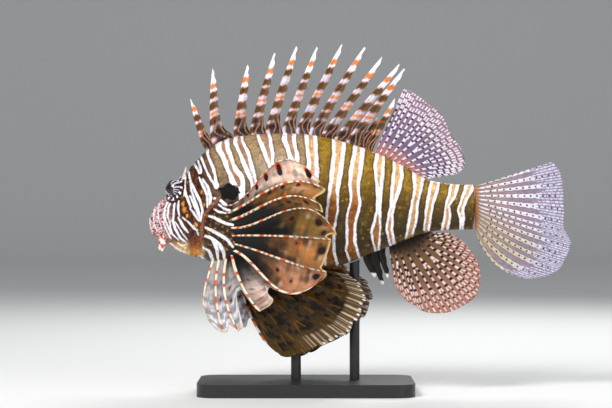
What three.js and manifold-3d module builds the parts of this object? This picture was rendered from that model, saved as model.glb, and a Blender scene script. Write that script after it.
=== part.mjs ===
// Red lionfish, life size, on a plain display stand. Millimetres, +Z up, head toward -X, left side toward -Y.
// The origin is the middle of the underside of the stand's base.
// The body is one loft that bends away at the head and a little at the tail, cut into head, gill covers,
// jaw, trunk and tail stem by thin gaps. Every fin is a thin slab spread over its own fan of rays.

import * as THREE from "three";
import * as BufferGeometryUtils from "three/addons/utils/BufferGeometryUtils.js";
import Module from "manifold-3d";

// Clear gap left between neighbouring pieces
const GAP = 0.35;

// Body stations: distance along the body, height of back, height of belly, half width
const SNOUT = -112.5;
const BODY_END = 119;
const BACK = [
  [-113, 121], [-108, 130.5], [-102, 136.5], [-94, 145], [-85, 154], [-76, 164], [-68, 172],
  [-58, 177.5], [-44, 180.5], [-20, 181.8], [0, 181], [20, 177.5], [40, 171.5], [58, 164.2],
  [72, 156.5], [84, 150], [96, 147], [110, 146], [124, 146],
];
const BELLY = [
  [-113, 113], [-107, 107.5], [-98, 101.5], [-88, 97], [-80, 94.4], [-72, 92.6], [-62, 89],
  [-48, 86.4], [-20, 85], [4, 86], [20, 88], [32, 91.5], [44, 96.5], [58, 101.8], [72, 107.6],
  [84, 111.6], [98, 113.4], [124, 113.8],
];
const HALF_WIDTH = [
  [-113, 7.5], [-106, 10], [-97, 13], [-86, 17], [-76, 21], [-64, 24], [-50, 25.5], [-30, 25],
  [0, 22.5], [25, 19], [50, 14.5], [75, 10.2], [95, 7.6], [112, 5.8], [124, 3.6],
];
// Share of the height at which the section is widest
const WIDEST = [[-113, 0.45], [-90, 0.44], [-70, 0.45], [-40, 0.47], [0, 0.5], [124, 0.5]];
const SNOUT_ROUND = 6;
const TAIL_ROUND = 3;
// Fullness of the section above and below its widest line: over 1 is flatter sided, under 1 rounder
const UPPER_POWER = 1.18;
const LOWER_POWER = 0.92;
const SECTION_SIDES = 24;
const STATION_STEP = 8;
const FIRST_EVEN_STATION = -94;
const SNOUT_STEPS = [0.25, 1, 2.4, 4.4, 7, 10.5];
const STUMP_STEPS = [TAIL_ROUND, 1.6, 0.6];

// The body's bend, seen from above
const HEAD_TURN = 0.53;
const HEAD_BEND_START = -60;
const HEAD_BEND_END = 14;
const TAIL_TURN = 0.13;
const TAIL_BEND_START = 58;
const TAIL_BEND_END = 123;

// Eye: station, distance out from the middle plane, height and radius
const EYE = { x: -88.3, out: 11, z: 142.8, radius: 6.5 };
const EYE_COLUMNS = 14;
const EYE_ROWS = 9;
// Brow ridge round the eye: how far it stands out, how far above the eye it peaks, and its spread
const BROW = { rise: 2.2, above: 3, spread: 8 };

// Dorsal spines from the nape back: foot x, tip x, tip height, blade width
const DORSAL_SPINES = [
  [-70, -81, 207, 5.2], [-65, -68, 228.5, 6], [-49, -40, 230, 6], [-38, -23, 238.5, 5.8],
  [-27, -6.5, 242.5, 5.8], [-15.5, 7.5, 242.5, 5.6], [-6, 25, 244, 5.6], [3, 41, 242.5, 5.6],
  [11.5, 53, 235, 5.4], [20.5, 65.5, 230.5, 5.4], [29, 68.5, 227, 5.2], [37.2, 50, 193, 3.6],
  [42.4, 62, 206, 4],
];
const SPINE_WEB_END = 47.4;
const SPINE_THICKNESS = 1.9;
const SPINE_TIP_THICKNESS = 0.8;
const SPINE_TIP_WIDTH = 0.6;
const SPINE_TAPER = 0.25;
const TRAIL_THINNING = 0.45;
const SPINE_ROWS = 7;
const DORSAL_SPINE_LEAN = 3;
const ANAL_SPINE_LEAN = 2;

// Anal spines: foot x, tip x, tip height, blade width
const ANAL_SPINES = [[40.5, 47.5, 80.5, 3.6], [45.5, 53.5, 75, 4], [51, 57, 80, 3.4]];
const ANAL_WEB_END = 56.5;

// Median fins: foot line from x to x, then the free margin as x, z points
const SOFT_DORSAL = {
  from: 48, to: 83, columns: 16, rows: 4, lean: 3,
  margin: [
    [68.5, 213], [77, 209], [87.5, 201], [96, 193.5], [102, 181], [109, 170.5], [111.5, 160],
    [106.5, 153.5], [96, 151],
  ],
};
const SOFT_ANAL = {
  from: 58, to: 84, columns: 16, rows: 4, lean: 4,
  margin: [
    [61.5, 76], [68.5, 66], [76.5, 60.5], [83.5, 56.5], [97, 56], [108, 60], [117.5, 66.5], [121, 76],
    [121, 88], [115, 99], [108, 107], [101, 111.8],
  ],
};
const CAUDAL = {
  x: 119.5, high: 145, low: 115, columns: 20, rows: 5, lean: 5, lowerBow: 9,
  margin: [
    [176, 162], [182, 153.5], [183.5, 145], [184, 135.5], [184.5, 125], [184, 116], [187, 110],
    [189.5, 104], [187.5, 97.5], [184, 90.5], [181, 86], [171.5, 81], [158, 79],
  ],
};
// How far the foot of a median fin stands clear of the back or belly
const FIN_FOOT_CLEAR = 0.6;

// Pectoral fin. Root rows run down the shoulder as body station and angle round the body. Ray rows, from
// the top, are tip x from the root, tip height, distance out, bow, side bow and curl, with bow and curl
// square to the ray in side view. Lobe rows are how far each web falls short of the tips, from and to which
// share of its width, and beside which ray.
const PECTORAL = {
  root: [[-44.5, 0.02], [-42, -0.38], [-44, -0.85], [-61, -1.15]],
  rays: [
    [64, 148, 24, -3, 5, 23], [67, 142, 30, 2, 6, 9], [63, 131, 34, 1, 7, 9], [72, 112, 37, -1, 7, 17],
    [68, 108, 37, 1, 7, 0], [64, 86, 34, 1, 7, -2], [61, 81, 31, -1, 7, -16], [20, 58, 26, -3, 6, 0],
    [9, 44, 22, -5, 5, 0], [4, 43, 20, -4, 4, 0], [5, 43, 18, -5, 3, -5],
  ],
  lobes: [
    [0.08, 0.1, 1.3, "next"], [0.09, 0.1, 1.3, "next"], [0.26, 0.1, 1.3, "next"], [0.07, 0.1, 1.3, "next"],
    [0.08, 0.1, 1.3, "next"], [0.06, 0.1, 1.3, "next"], [0.56, 0.15, 0.95, "last"], [0.5, 0.3, 0.7, "last"],
    [0.14, 0.2, 0.8, "last"], [0.08, 0.3, 1, "next"],
  ],
  rows: 5,
  rootThickness: 5,
};
const SHOULDER_SINK = 1;
const NO_LOBE = [0, 0, 1, "next"];
// Share of a web's width from its longest point to its deepest notch, with the ray's free tip beyond
const LOBE_END = 0.9;

// Pelvic fin: foot line on the belly, then the rays as for the pectoral fin, with no lobes
const PELVIC = {
  from: -46, to: -34, out: 8, z: 89,
  rays: [
    [19, 37, 6, -3, 0, 0], [30.5, 26, 9, -3, 0, 0], [43, 26, 11, -2, 1, 0], [55.5, 33, 13, -1, 2, 0],
    [71, 41, 15, 0, 3, 0], [77, 51, 16, 0, 3, 0], [81.5, 64, 15, 1, 3, 0], [77, 75.5, 13, 1, 3, 0],
    [67, 83, 10, 2, 2, 0],
  ],
  lobes: [],
  columns: 16,
  rows: 4,
  rootThickness: 2.4,
};

// Feelers: root and tip as station, distance out and height, radius at each, and flatness
const BROW_FEELER = { root: [-82.3, 10.5, 149], tip: [-78.5, 13.5, 158.5], radii: [1.8, 0.5], flat: 0.8 };
const MOUTH_FEELER = { root: [-98, 9.5, 110], tip: [-96.5, 14, 98], radii: [2, 2.8], flat: 0.45 };
const FEELER_SIDES = 8;
const FEELER_STEPS = 4;

const FIN_ROOT_THICKNESS = 1.8;
const FIN_EDGE_THICKNESS = 0.7;
// Share of a ray's length over which a fin thins to its edge thickness
const MEDIAN_THINNING = 0.625;
const PAIRED_THINNING = 1 / 3;

// Stand
const BASE_LENGTH = 150;
const BASE_WIDTH = 90;
const BASE_HEIGHT = 9;
const BASE_CORNER = 14;
const BASE_CORNER_STEPS = 6;
const ROD_RADIUS = 3.5;
const ROD_SIDES = 20;
const ROD_TOP_GAP = 0.45;
const ROD_STATIONS = { front: -7, rear: 34 };

const COLOURS = {
  skin: 0x6b4a2c, pale: 0xe9dfe2, eye: 0x14161c, fin: 0x9a8088, rays: 0xb98a62, web: 0x5a4420,
  stand: 0x2b2b2d,
};
const SKIN_ROUGHNESS = 0.55;
const EYE_ROUGHNESS = 0.15;
const STAND_ROUGHNESS = 0.4;

// Points nearer than this are one point
const WELD = 1e-4;

// Smooth value through [x, value] rows
function curve(rows) {
  const last = rows.length - 1;
  const slopes = rows.map((row, i) => {
    const before = rows[Math.max(i - 1, 0)];
    const after = rows[Math.min(i + 1, last)];
    return (after[1] - before[1]) / (after[0] - before[0]);
  });
  return (x) => {
    const clamped = Math.min(Math.max(x, rows[0][0]), rows[last][0]);
    let i = 0;
    while (i < last - 1 && clamped > rows[i + 1][0]) i += 1;
    const width = rows[i + 1][0] - rows[i][0];
    const t = (clamped - rows[i][0]) / width;
    const t2 = t * t;
    const t3 = t2 * t;
    return (2 * t3 - 3 * t2 + 1) * rows[i][1] + (t3 - 2 * t2 + t) * width * slopes[i]
      + (3 * t2 - 2 * t3) * rows[i + 1][1] + (t3 - t2) * width * slopes[i + 1];
  };
}

const backAt = curve(BACK);
const bellyAt = curve(BELLY);
const halfWidthAt = curve(HALF_WIDTH);
const widestAt = curve(WIDEST);

// Sideways place of the body's middle line: straight trunk, head turned away, tail turned the same way
function middleLine(x) {
  const span = HEAD_BEND_END - HEAD_BEND_START;
  const t = Math.min(Math.max((HEAD_BEND_END - x) / span, 0), 1);
  const head = HEAD_TURN * span * (t ** 3 - t ** 4 / 2) + HEAD_TURN * Math.max(HEAD_BEND_START - x, 0);
  const tailSpan = TAIL_BEND_END - TAIL_BEND_START;
  const tail = TAIL_TURN * tailSpan * (Math.max(x - TAIL_BEND_START, 0) / tailSpan) ** 2 / 2;
  return head + tail;
}

function middleSlope(x) {
  const step = 0.01;
  return (middleLine(x + step) - middleLine(x - step)) / (2 * step);
}

// Straight fish to bent fish: x along the body, y sideways from its middle plane (left is negative)
function bend(x, y, z) {
  const slope = middleSlope(x);
  const length = Math.sqrt(1 + slope * slope);
  return [x - y * slope / length, middleLine(x) + y / length, z];
}

// Soft hump with its top at a place on the side of the head
function hump(x, z, atX, atZ, spread) {
  return Math.exp(-(((x - atX) / spread) ** 2) - (((z - atZ) / spread) ** 2));
}

// Point on the straight body's skin. The angle runs from the belly up the left side to the back, then down.
function skinPoint(x, angle, grow = 0) {
  const snout = Math.min(Math.max((SNOUT - grow + SNOUT_ROUND - x) / SNOUT_ROUND, 0), 1);
  const tail = Math.min(Math.max((x - BODY_END - grow + TAIL_ROUND) / TAIL_ROUND, 0), 1);
  const round = Math.sqrt(1 - snout * snout) * Math.sqrt(1 - tail * tail);
  const back = backAt(x) + grow;
  const belly = bellyAt(x) - grow;
  const middle = belly + (back - belly) * widestAt(x);
  const up = Math.sin(angle);
  const side = Math.cos(angle);
  const power = up > 0 ? UPPER_POWER : LOWER_POWER;
  const out = (halfWidthAt(x) + grow) * Math.abs(side) ** power;
  const z = middle + (up > 0 ? (back - middle) : (middle - belly)) * up * round;
  const brow = BROW.rise * hump(x, z, EYE.x, EYE.z + BROW.above, BROW.spread) * Math.sqrt(Math.abs(side));
  return [x, -Math.sign(side) * (out * round + brow), z];
}

// Closed mesh from rings of points and one point at each end
function closedLoft(rings, first, last) {
  const points = [first, ...rings.flat(), last];
  const count = rings[0].length;
  const faces = [];
  const at = (ring, i) => 1 + ring * count + (i % count);
  for (let i = 0; i < count; i += 1) {
    faces.push(0, at(0, i + 1), at(0, i));
    faces.push(points.length - 1, at(rings.length - 1, i), at(rings.length - 1, i + 1));
  }
  for (let ring = 0; ring < rings.length - 1; ring += 1) {
    for (let i = 0; i < count; i += 1) {
      faces.push(at(ring, i), at(ring, i + 1), at(ring + 1, i));
      faces.push(at(ring, i + 1), at(ring + 1, i + 1), at(ring + 1, i));
    }
  }
  return indexed(points, faces);
}

// Geometry from points and face indices, turned to face out
function indexed(points, faces) {
  const geometry = new THREE.BufferGeometry();
  geometry.setAttribute("position", new THREE.Float32BufferAttribute(points.flat(), 3));
  let volume = 0;
  for (let i = 0; i < faces.length; i += 3) {
    const [a, b, c] = [faces[i], faces[i + 1], faces[i + 2]].map((k) => new THREE.Vector3(...points[k]));
    volume += a.dot(b.cross(c));
  }
  if (volume < 0) faces.reverse();
  geometry.setIndex(faces);
  return geometry;
}

const wasm = await Module();
wasm.setup();

function solid(geometry) {
  const bare = geometry.clone();
  bare.deleteAttribute("normal");
  bare.deleteAttribute("uv");
  const merged = BufferGeometryUtils.mergeVertices(bare, WELD);
  return new wasm.Manifold(new wasm.Mesh({
    numProp: 3,
    vertProperties: new Float32Array(merged.attributes.position.array),
    triVerts: new Uint32Array(merged.index.array),
  }));
}

function geometryOf(manifold) {
  const mesh = manifold.getMesh();
  const geometry = new THREE.BufferGeometry();
  geometry.setAttribute("position", new THREE.Float32BufferAttribute(mesh.vertProperties, 3));
  geometry.setIndex(Array.from(mesh.triVerts));
  return geometry;
}

// The whole body, grown by a clearance when another piece is cut back from it
function bodySolid(grow = 0) {
  const start = SNOUT - grow;
  const end = BODY_END + grow;
  const stations = SNOUT_STEPS.map((step) => start + step);
  for (let x = FIRST_EVEN_STATION; x < BODY_END - 2 * TAIL_ROUND; x += STATION_STEP) stations.push(x);
  stations.push(...STUMP_STEPS.map((step) => end - step));
  const rings = stations.map((x) => Array.from({ length: SECTION_SIDES }, (_, i) => {
    const angle = -Math.PI / 2 + (i * 2 * Math.PI) / SECTION_SIDES;
    return bend(...skinPoint(x, angle, grow));
  }));
  const nose = bend(...skinPoint(start, -Math.PI / 2, grow));
  const stump = bend(...skinPoint(end, -Math.PI / 2, grow));
  return solid(closedLoft(rings, nose, stump));
}

// Upright wall through the body: a side outline in x and z, from one side plane to another
function region(outline, fromY, toY) {
  const shape = new THREE.Shape(outline.map(([x, z]) => new THREE.Vector2(x, z)));
  const geometry = new THREE.ExtrudeGeometry(shape, { depth: toY - fromY, bevelEnabled: false });
  geometry.deleteAttribute("normal");
  geometry.deleteAttribute("uv");
  const merged = BufferGeometryUtils.mergeVertices(geometry, WELD);
  const position = merged.attributes.position;
  const points = [];
  for (let i = 0; i < position.count; i += 1) {
    points.push(bend(position.getX(i), fromY + position.getZ(i), position.getY(i)));
  }
  return solid(indexed(points, Array.from(merged.index.array)));
}

// Evenly spaced shares from 0 to 1
const evenly = (count) => Array.from({ length: count + 1 }, (_, i) => i / count);

// Fin slab over a grid of middle-sheet points: shares across the rays, then shares along them
function slab(acrossShares, alongShares, place, thickness) {
  const step = 0.002;
  const columns = acrossShares.length - 1;
  const rows = alongShares.length - 1;
  const front = [];
  const behind = [];
  for (const u of acrossShares) {
    for (const v of alongShares) {
      const centre = new THREE.Vector3(...place(u, v));
      const across = new THREE.Vector3(...place(Math.min(u + step, 1), v))
        .sub(new THREE.Vector3(...place(Math.max(u - step, 0), v)));
      const along = new THREE.Vector3(...place(u, Math.min(v + step, 1)))
        .sub(new THREE.Vector3(...place(u, Math.max(v - step, 0))));
      const normal = across.cross(along).normalize().multiplyScalar(thickness(u, v) / 2);
      front.push(centre.clone().add(normal).toArray());
      behind.push(centre.clone().sub(normal).toArray());
    }
  }
  const half = front.length;
  const at = (i, j) => i * (rows + 1) + j;
  const faces = [];
  for (let i = 0; i < columns; i += 1) {
    for (let j = 0; j < rows; j += 1) {
      const [a, b, c, d] = [at(i, j), at(i + 1, j), at(i + 1, j + 1), at(i, j + 1)];
      faces.push(a, b, c, a, c, d);
      faces.push(half + a, half + c, half + b, half + a, half + d, half + c);
    }
  }
  const rim = [];
  for (let i = 0; i < columns; i += 1) rim.push(at(i, 0));
  for (let j = 0; j < rows; j += 1) rim.push(at(columns, j));
  for (let i = columns; i > 0; i -= 1) rim.push(at(i, rows));
  for (let j = rows; j > 0; j -= 1) rim.push(at(0, j));
  rim.forEach((from, k) => {
    const to = rim[(k + 1) % rim.length];
    faces.push(from, half + to, to, from, half + from, half + to);
  });
  return indexed([...front, ...behind], faces);
}

const mix = (a, b, t) => a + (b - a) * t;

// 0 below low, 1 above high, with a soft S between
const smooth = (low, high, value) => {
  const t = Math.min(Math.max((value - low) / (high - low), 0), 1);
  return t * t * (3 - 2 * t);
};

// Smooth path through rows of equal length, read at a share of the way from first to last
function through(rows) {
  const tracks = rows[0].map((_, k) => curve(rows.map((row, i) => [i, row[k]])));
  return (share) => tracks.map((track) => track(share * (rows.length - 1)));
}

// Scale that makes a curl reach its full size two thirds of the way out
const CURL_PEAK = 6.75;

const finThickness = (u, v) => mix(FIN_ROOT_THICKNESS, FIN_EDGE_THICKNESS, Math.min(v / MEDIAN_THINNING, 1));

// Slack that keeps a ray's own column in the web that starts at it
const ROUNDING = 1e-6;

// How far the web at u falls short of the rays' tips: round lobes with a notch beside one ray of each web
function shortfall(u, rays, lobes) {
  const t = u * (rays - 1);
  const web = Math.min(Math.floor(t + ROUNDING), rays - 2);
  const [depth, near, far, beside] = lobes[web] ?? NO_LOBE;
  const toward = Math.min(Math.max(beside === "next" ? t - web : web + 1 - t, 0), 1);
  return depth * smooth(near, far, toward) * (1 - smooth(LOBE_END, 1, toward));
}

// Columns of a lobed fin: each ray, the middle of each lobe and the foot of each notch
function lobeColumns(lobes) {
  const shares = lobes.flatMap(([, near, far, beside], web) => {
    const middle = Math.min((near + far) / 2, LOBE_END / 2);
    const within = beside === "next" ? [0, middle, LOBE_END] : [0, 1 - LOBE_END, 1 - middle];
    return within.map((share) => (web + share) / lobes.length);
  });
  return [...shares, 1];
}

// One fin spine with its trailing skin, and the low web that runs from its foot to the place given as reach.
// Rows crowd toward the foot, where the web fades out over WEB_FADE.
const WEB_FADE = 7.5;
const FOOT_FADE = 2.5;
const FOOT_SINK = 0.5;
const TRAIL_DROP = 1.2;
const ROW_CROWDING = 1.6;
function spineBlade(foot, reach, footEnd, tip, width, surface, side, lean) {
  const height = Math.abs(tip[1] - surface(foot));
  const place = (u, share) => {
    const v = share ** ROW_CROWDING;
    const frontX = mix(foot, tip[0], v) - (width / 2) * (1 - v ** 3);
    const web = Math.exp(-v * height / WEB_FADE);
    const blade = width * (1 - v ** 5) * (1 - SPINE_TAPER * v) + SPINE_TIP_WIDTH;
    const chord = mix(blade, Math.max(reach - foot, blade), web);
    const footX = mix(foot, footEnd, u);
    const rootZ = surface(footX) + side * FOOT_SINK;
    const x = mix(frontX + chord * u, footX, Math.exp(-v * height / FOOT_FADE));
    const z = mix(rootZ, tip[1], v);
    return bend(x, lean * v, z - side * (1 - web) * u * TRAIL_DROP);
  };
  const thickness = (u, v) => mix(SPINE_THICKNESS, SPINE_TIP_THICKNESS, v) * (1 - TRAIL_THINNING * u);
  return slab(evenly(1), evenly(SPINE_ROWS), place, thickness);
}

// A row of spines joined by their webs, leaning to either side in turn, with its last web ending at webEnd
const WEB_OVERLAP = 0.4;
function spinyFin(spines, webEnd, surface, side, lean) {
  const blades = spines.map(([foot, tipX, tipZ, width], i) => {
    const next = spines[i + 1];
    const reach = next ? next[0] + width / 2 : webEnd - GAP;
    const footEnd = next ? next[0] + WEB_OVERLAP : webEnd - GAP;
    const toSide = i % 2 ? lean : -lean;
    return solid(spineBlade(foot, reach, footEnd, [tipX, tipZ], width, surface, side, toSide));
  });
  return blades.reduce((fin, blade) => fin.add(blade));
}

// Fan in the middle plane, from a foot line to a margin
function medianFan(foot, fin, bow, lean) {
  const edge = through(fin.margin);
  const place = (u, v) => {
    const [footX, footZ] = foot(u);
    const [tipX, tipZ] = edge(u);
    const side = bow(u) * 4 * v * (1 - v);
    const length = Math.hypot(tipX - footX, tipZ - footZ);
    const x = mix(footX, tipX, v) + side * (tipZ - footZ) / length;
    const z = mix(footZ, tipZ, v) - side * (tipX - footX) / length;
    return bend(x, lean(u, v), z);
  };
  return slab(evenly(fin.columns), evenly(fin.rows), place, finThickness);
}

// Paired fin: rays spread from a root line on the body, mirrored across the trunk's middle plane
function pairedFan(rootAt, fin, sign, columns) {
  const ray = through(fin.rays);
  const place = (u, v) => {
    const [rootX, rootY, rootZ] = rootAt(u);
    const [lengthX, tipZ, out, bow, sideBow, curl] = ray(u);
    const reach = v * (1 - shortfall(u, fin.rays.length, fin.lobes) * v * v);
    const lengthZ = tipZ - rootZ;
    const arch = 4 * reach * (1 - reach);
    const curled = curl * CURL_PEAK * reach * reach * (1 - reach);
    const lift = (bow * arch + curled) / Math.hypot(lengthX, lengthZ);
    return [
      rootX + lengthX * reach - lift * lengthZ,
      rootY + sign * (out * reach + sideBow * arch),
      rootZ + lengthZ * reach + lift * lengthX,
    ];
  };
  const thickness = (u, v) => mix(fin.rootThickness, FIN_EDGE_THICKNESS, Math.min(v / PAIRED_THINNING, 1));
  return slab(columns, evenly(fin.rows), place, thickness);
}

const part = new THREE.Group();
const clearance = bodySolid(GAP);

function add(name, geometry, color, roughness = SKIN_ROUGHNESS) {
  geometry.computeVertexNormals();
  const mesh = new THREE.Mesh(geometry, new THREE.MeshStandardMaterial({ color, roughness, metalness: 0 }));
  mesh.name = name;
  part.add(mesh);
}

// A fin cut back clear of the body it stands on
function addFin(name, fin, colour) {
  add(name, geometryOf(fin.subtract(clearance)), colour);
}

// Head, jaw, gill covers, trunk and tail stem, cut from one body
const FAR = 60;
const AHEAD = -130;
const BEHIND = 140;
const UNDER = 60;
const OVER = 200;
const gillEdge = [
  [-66, OVER], [-69, 172], [-64, 158], [-57, 145], [-53, 134], [-59, 125.5], [-63, 115], [-65, 106],
  [-69, 96], [-73, UNDER],
];
const headOutline = (shift) => [[AHEAD, UNDER], [AHEAD, OVER], ...gillEdge.map(([x, z]) => [x + shift, z])];
const jawOutline = (grow) => [
  [AHEAD, 113 + grow], [-106, 109.5 + grow], [-92, 106 + grow], [-87 + grow, 103], [-80 + grow, UNDER],
  [AHEAD, UNDER],
];
const cheekOutline = (grow) => [
  [-74 - grow, 145 + grow], [-79 - grow, 134], [-81 - grow, 120], [-80 - grow, 108], [-77 - grow, 99 - grow],
  [-50, 99 - grow], [-50, 145 + grow],
];
const CHEEK_DEPTH = 9;
const TAIL_CUT = 60;

const body = bodySolid();
const wholeHead = body.intersect(region(headOutline(0), -FAR, FAR));
const behindHead = body.subtract(region(headOutline(GAP), -FAR, FAR));
const rear = (x) => [[x, UNDER], [x, OVER], [BEHIND, OVER], [BEHIND, UNDER]];
const eyeBall = (sign, radius) => {
  const ball = new THREE.SphereGeometry(radius, EYE_COLUMNS, EYE_ROWS);
  ball.rotateX(Math.PI / 2);
  ball.translate(...bend(EYE.x, sign * EYE.out, EYE.z));
  return ball;
};
const sockets = [-1, 1].map((sign) => solid(eyeBall(sign, EYE.radius + GAP)));
const jaw = wholeHead.intersect(region(jawOutline(0), -FAR, FAR));
const covers = [-1, 1].map((sign) => {
  const [fromY, toY] = sign < 0 ? [-FAR, -CHEEK_DEPTH] : [CHEEK_DEPTH, FAR];
  return wholeHead.intersect(region(cheekOutline(0), fromY, toY));
});
let head = wholeHead.subtract(region(jawOutline(GAP), -FAR, FAR));
head = head.subtract(region(cheekOutline(GAP), -FAR, -CHEEK_DEPTH + GAP));
head = head.subtract(region(cheekOutline(GAP), CHEEK_DEPTH - GAP, FAR));
head = head.subtract(sockets[0]).subtract(sockets[1]);

add("head", geometryOf(head), COLOURS.skin);
add("lower_jaw", geometryOf(jaw), COLOURS.skin);
add("gill_cover_left", geometryOf(covers[0]), COLOURS.skin);
add("gill_cover_right", geometryOf(covers[1]), COLOURS.skin);
add("trunk", geometryOf(behindHead.subtract(region(rear(TAIL_CUT), -FAR, FAR))), COLOURS.skin);
add("tail_stem", geometryOf(behindHead.intersect(region(rear(TAIL_CUT + GAP), -FAR, FAR))), COLOURS.skin);
add("eye_left", eyeBall(-1, EYE.radius), COLOURS.eye, EYE_ROUGHNESS);
add("eye_right", eyeBall(1, EYE.radius), COLOURS.eye, EYE_ROUGHNESS);

// Feelers: a small horn over each eye and a flap hanging from each side of the upper lip
function feeler({ root, tip, radii, flat }, sign) {
  const at = (t, forward, sideways) => bend(
    mix(root[0], tip[0], t) + forward,
    sign * mix(root[1], tip[1], t) + sideways,
    mix(root[2], tip[2], t),
  );
  const rings = evenly(FEELER_STEPS).map((t) => Array.from({ length: FEELER_SIDES }, (_, i) => {
    const angle = (i * 2 * Math.PI) / FEELER_SIDES;
    const radius = mix(...radii, t ** 1.5);
    return at(t, radius * Math.cos(angle), radius * flat * Math.sin(angle));
  }));
  return solid(closedLoft(rings, at(0, 0, 0), at(1, 0, 0))).subtract(clearance);
}
["left", "right"].forEach((side, i) => {
  const sign = i ? 1 : -1;
  const brow = feeler(BROW_FEELER, sign).subtract(sockets[i]);
  add(`brow_feeler_${side}`, geometryOf(brow), COLOURS.pale);
  add(`mouth_feeler_${side}`, geometryOf(feeler(MOUTH_FEELER, sign)), COLOURS.pale);
});

// Spines of the back and those in front of the anal fin
const dorsalSpines = spinyFin(DORSAL_SPINES, SPINE_WEB_END, backAt, 1, DORSAL_SPINE_LEAN);
const analSpines = spinyFin(ANAL_SPINES, ANAL_WEB_END, bellyAt, -1, ANAL_SPINE_LEAN);
addFin("dorsal_fin_spiny", dorsalSpines, COLOURS.rays);
addFin("anal_fin_spiny", analSpines, COLOURS.web);

// Soft fins in the middle plane
const dorsalFoot = (u) => {
  const x = mix(SOFT_DORSAL.from, SOFT_DORSAL.to, u);
  return [x, backAt(x) + FIN_FOOT_CLEAR];
};
const analFoot = (u) => {
  const x = mix(SOFT_ANAL.from, SOFT_ANAL.to, u);
  return [x, bellyAt(x) - FIN_FOOT_CLEAR];
};
const caudalFoot = (u) => [CAUDAL.x, mix(CAUDAL.high, CAUDAL.low, u)];
const unbowed = () => 0;
const dorsalLean = (u, v) => SOFT_DORSAL.lean * v * v * (1 - u);
const analLean = (u, v) => -SOFT_ANAL.lean * v * v;
const caudalLean = (u, v) => CAUDAL.lean * v * v;
const caudalBow = (u) => CAUDAL.lowerBow * u ** 3;
addFin("dorsal_fin_soft", solid(medianFan(dorsalFoot, SOFT_DORSAL, unbowed, dorsalLean)), COLOURS.fin);
addFin("anal_fin_soft", solid(medianFan(analFoot, SOFT_ANAL, unbowed, analLean)), COLOURS.web);
add("caudal_fin", medianFan(caudalFoot, CAUDAL, caudalBow, caudalLean), COLOURS.fin);

// Paired fins
const pectoralRoot = through(PECTORAL.root);
for (const [side, sign] of [["left", -1], ["right", 1]]) {
  const shoulder = (u) => {
    const [station, rise] = pectoralRoot(u);
    const angle = sign < 0 ? rise : Math.PI - rise;
    const root = bend(...skinPoint(station, angle));
    return [root[0], root[1] - sign * SHOULDER_SINK, root[2]];
  };
  const hip = (u) => {
    const x = mix(PELVIC.from, PELVIC.to, u);
    return bend(x, sign * PELVIC.out, PELVIC.z);
  };
  const pectoral = pairedFan(shoulder, PECTORAL, sign, lobeColumns(PECTORAL.lobes));
  const pelvic = pairedFan(hip, PELVIC, sign, evenly(PELVIC.columns));
  addFin(`pectoral_fin_${side}`, solid(pectoral), COLOURS.rays);
  addFin(`pelvic_fin_${side}`, solid(pelvic), COLOURS.web);
}

// Stand: a flat base with rounded corners and two short rods up to the belly
const baseShape = new THREE.Shape();
const [halfLength, halfDepth] = [BASE_LENGTH / 2, BASE_WIDTH / 2];
baseShape.absarc(halfLength - BASE_CORNER, halfDepth - BASE_CORNER, BASE_CORNER, 0, Math.PI / 2);
baseShape.absarc(BASE_CORNER - halfLength, halfDepth - BASE_CORNER, BASE_CORNER, Math.PI / 2, Math.PI);
baseShape.absarc(BASE_CORNER - halfLength, BASE_CORNER - halfDepth, BASE_CORNER, Math.PI, Math.PI * 1.5);
baseShape.absarc(halfLength - BASE_CORNER, BASE_CORNER - halfDepth, BASE_CORNER, Math.PI * 1.5, Math.PI * 2);
const baseSizes = { depth: BASE_HEIGHT, bevelEnabled: false, curveSegments: BASE_CORNER_STEPS };
add("stand_base", new THREE.ExtrudeGeometry(baseShape, baseSizes), COLOURS.stand, STAND_ROUGHNESS);

for (const [name, x] of Object.entries(ROD_STATIONS)) {
  const [rodX, rodY] = bend(x, 0, 0);
  const ring = (height) => Array.from({ length: ROD_SIDES }, (_, i) => {
    const angle = (i * 2 * Math.PI) / ROD_SIDES;
    const [px, py] = [rodX + ROD_RADIUS * Math.cos(angle), rodY + ROD_RADIUS * Math.sin(angle)];
    return [px, py, height(px)];
  });
  const top = (px) => bellyAt(px) - ROD_TOP_GAP;
  const foot = BASE_HEIGHT + GAP;
  const rod = closedLoft([ring(() => foot), ring(top)], [rodX, rodY, foot], [rodX, rodY, top(rodX)]);
  add(`stand_rod_${name}`, rod, COLOURS.stand, STAND_ROUGHNESS);
}

export default part;
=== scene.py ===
import math

import bpy
import numpy as np
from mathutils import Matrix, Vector


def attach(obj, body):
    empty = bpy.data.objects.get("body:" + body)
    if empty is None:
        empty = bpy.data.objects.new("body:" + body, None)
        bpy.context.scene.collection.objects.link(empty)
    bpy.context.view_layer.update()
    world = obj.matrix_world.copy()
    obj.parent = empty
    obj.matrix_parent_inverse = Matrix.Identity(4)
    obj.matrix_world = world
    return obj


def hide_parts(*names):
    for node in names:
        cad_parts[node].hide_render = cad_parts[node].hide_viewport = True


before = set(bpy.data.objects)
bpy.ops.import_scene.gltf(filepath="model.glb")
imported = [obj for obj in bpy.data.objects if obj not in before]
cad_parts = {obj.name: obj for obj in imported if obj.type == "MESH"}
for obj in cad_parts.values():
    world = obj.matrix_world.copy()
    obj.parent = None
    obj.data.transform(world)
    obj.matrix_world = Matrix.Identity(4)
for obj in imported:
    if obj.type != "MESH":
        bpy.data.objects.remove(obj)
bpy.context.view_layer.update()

# Sizes and the fish's bend
# The fish is life size. Lengths here are millimetres and become metres when a mesh is made. The body's
# stations, its turned head and its swept tail repeat the solids, and the skin lies inside them.
MM = 0.001
SNOUT = -112.5
BODY_END = 119.0
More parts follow.
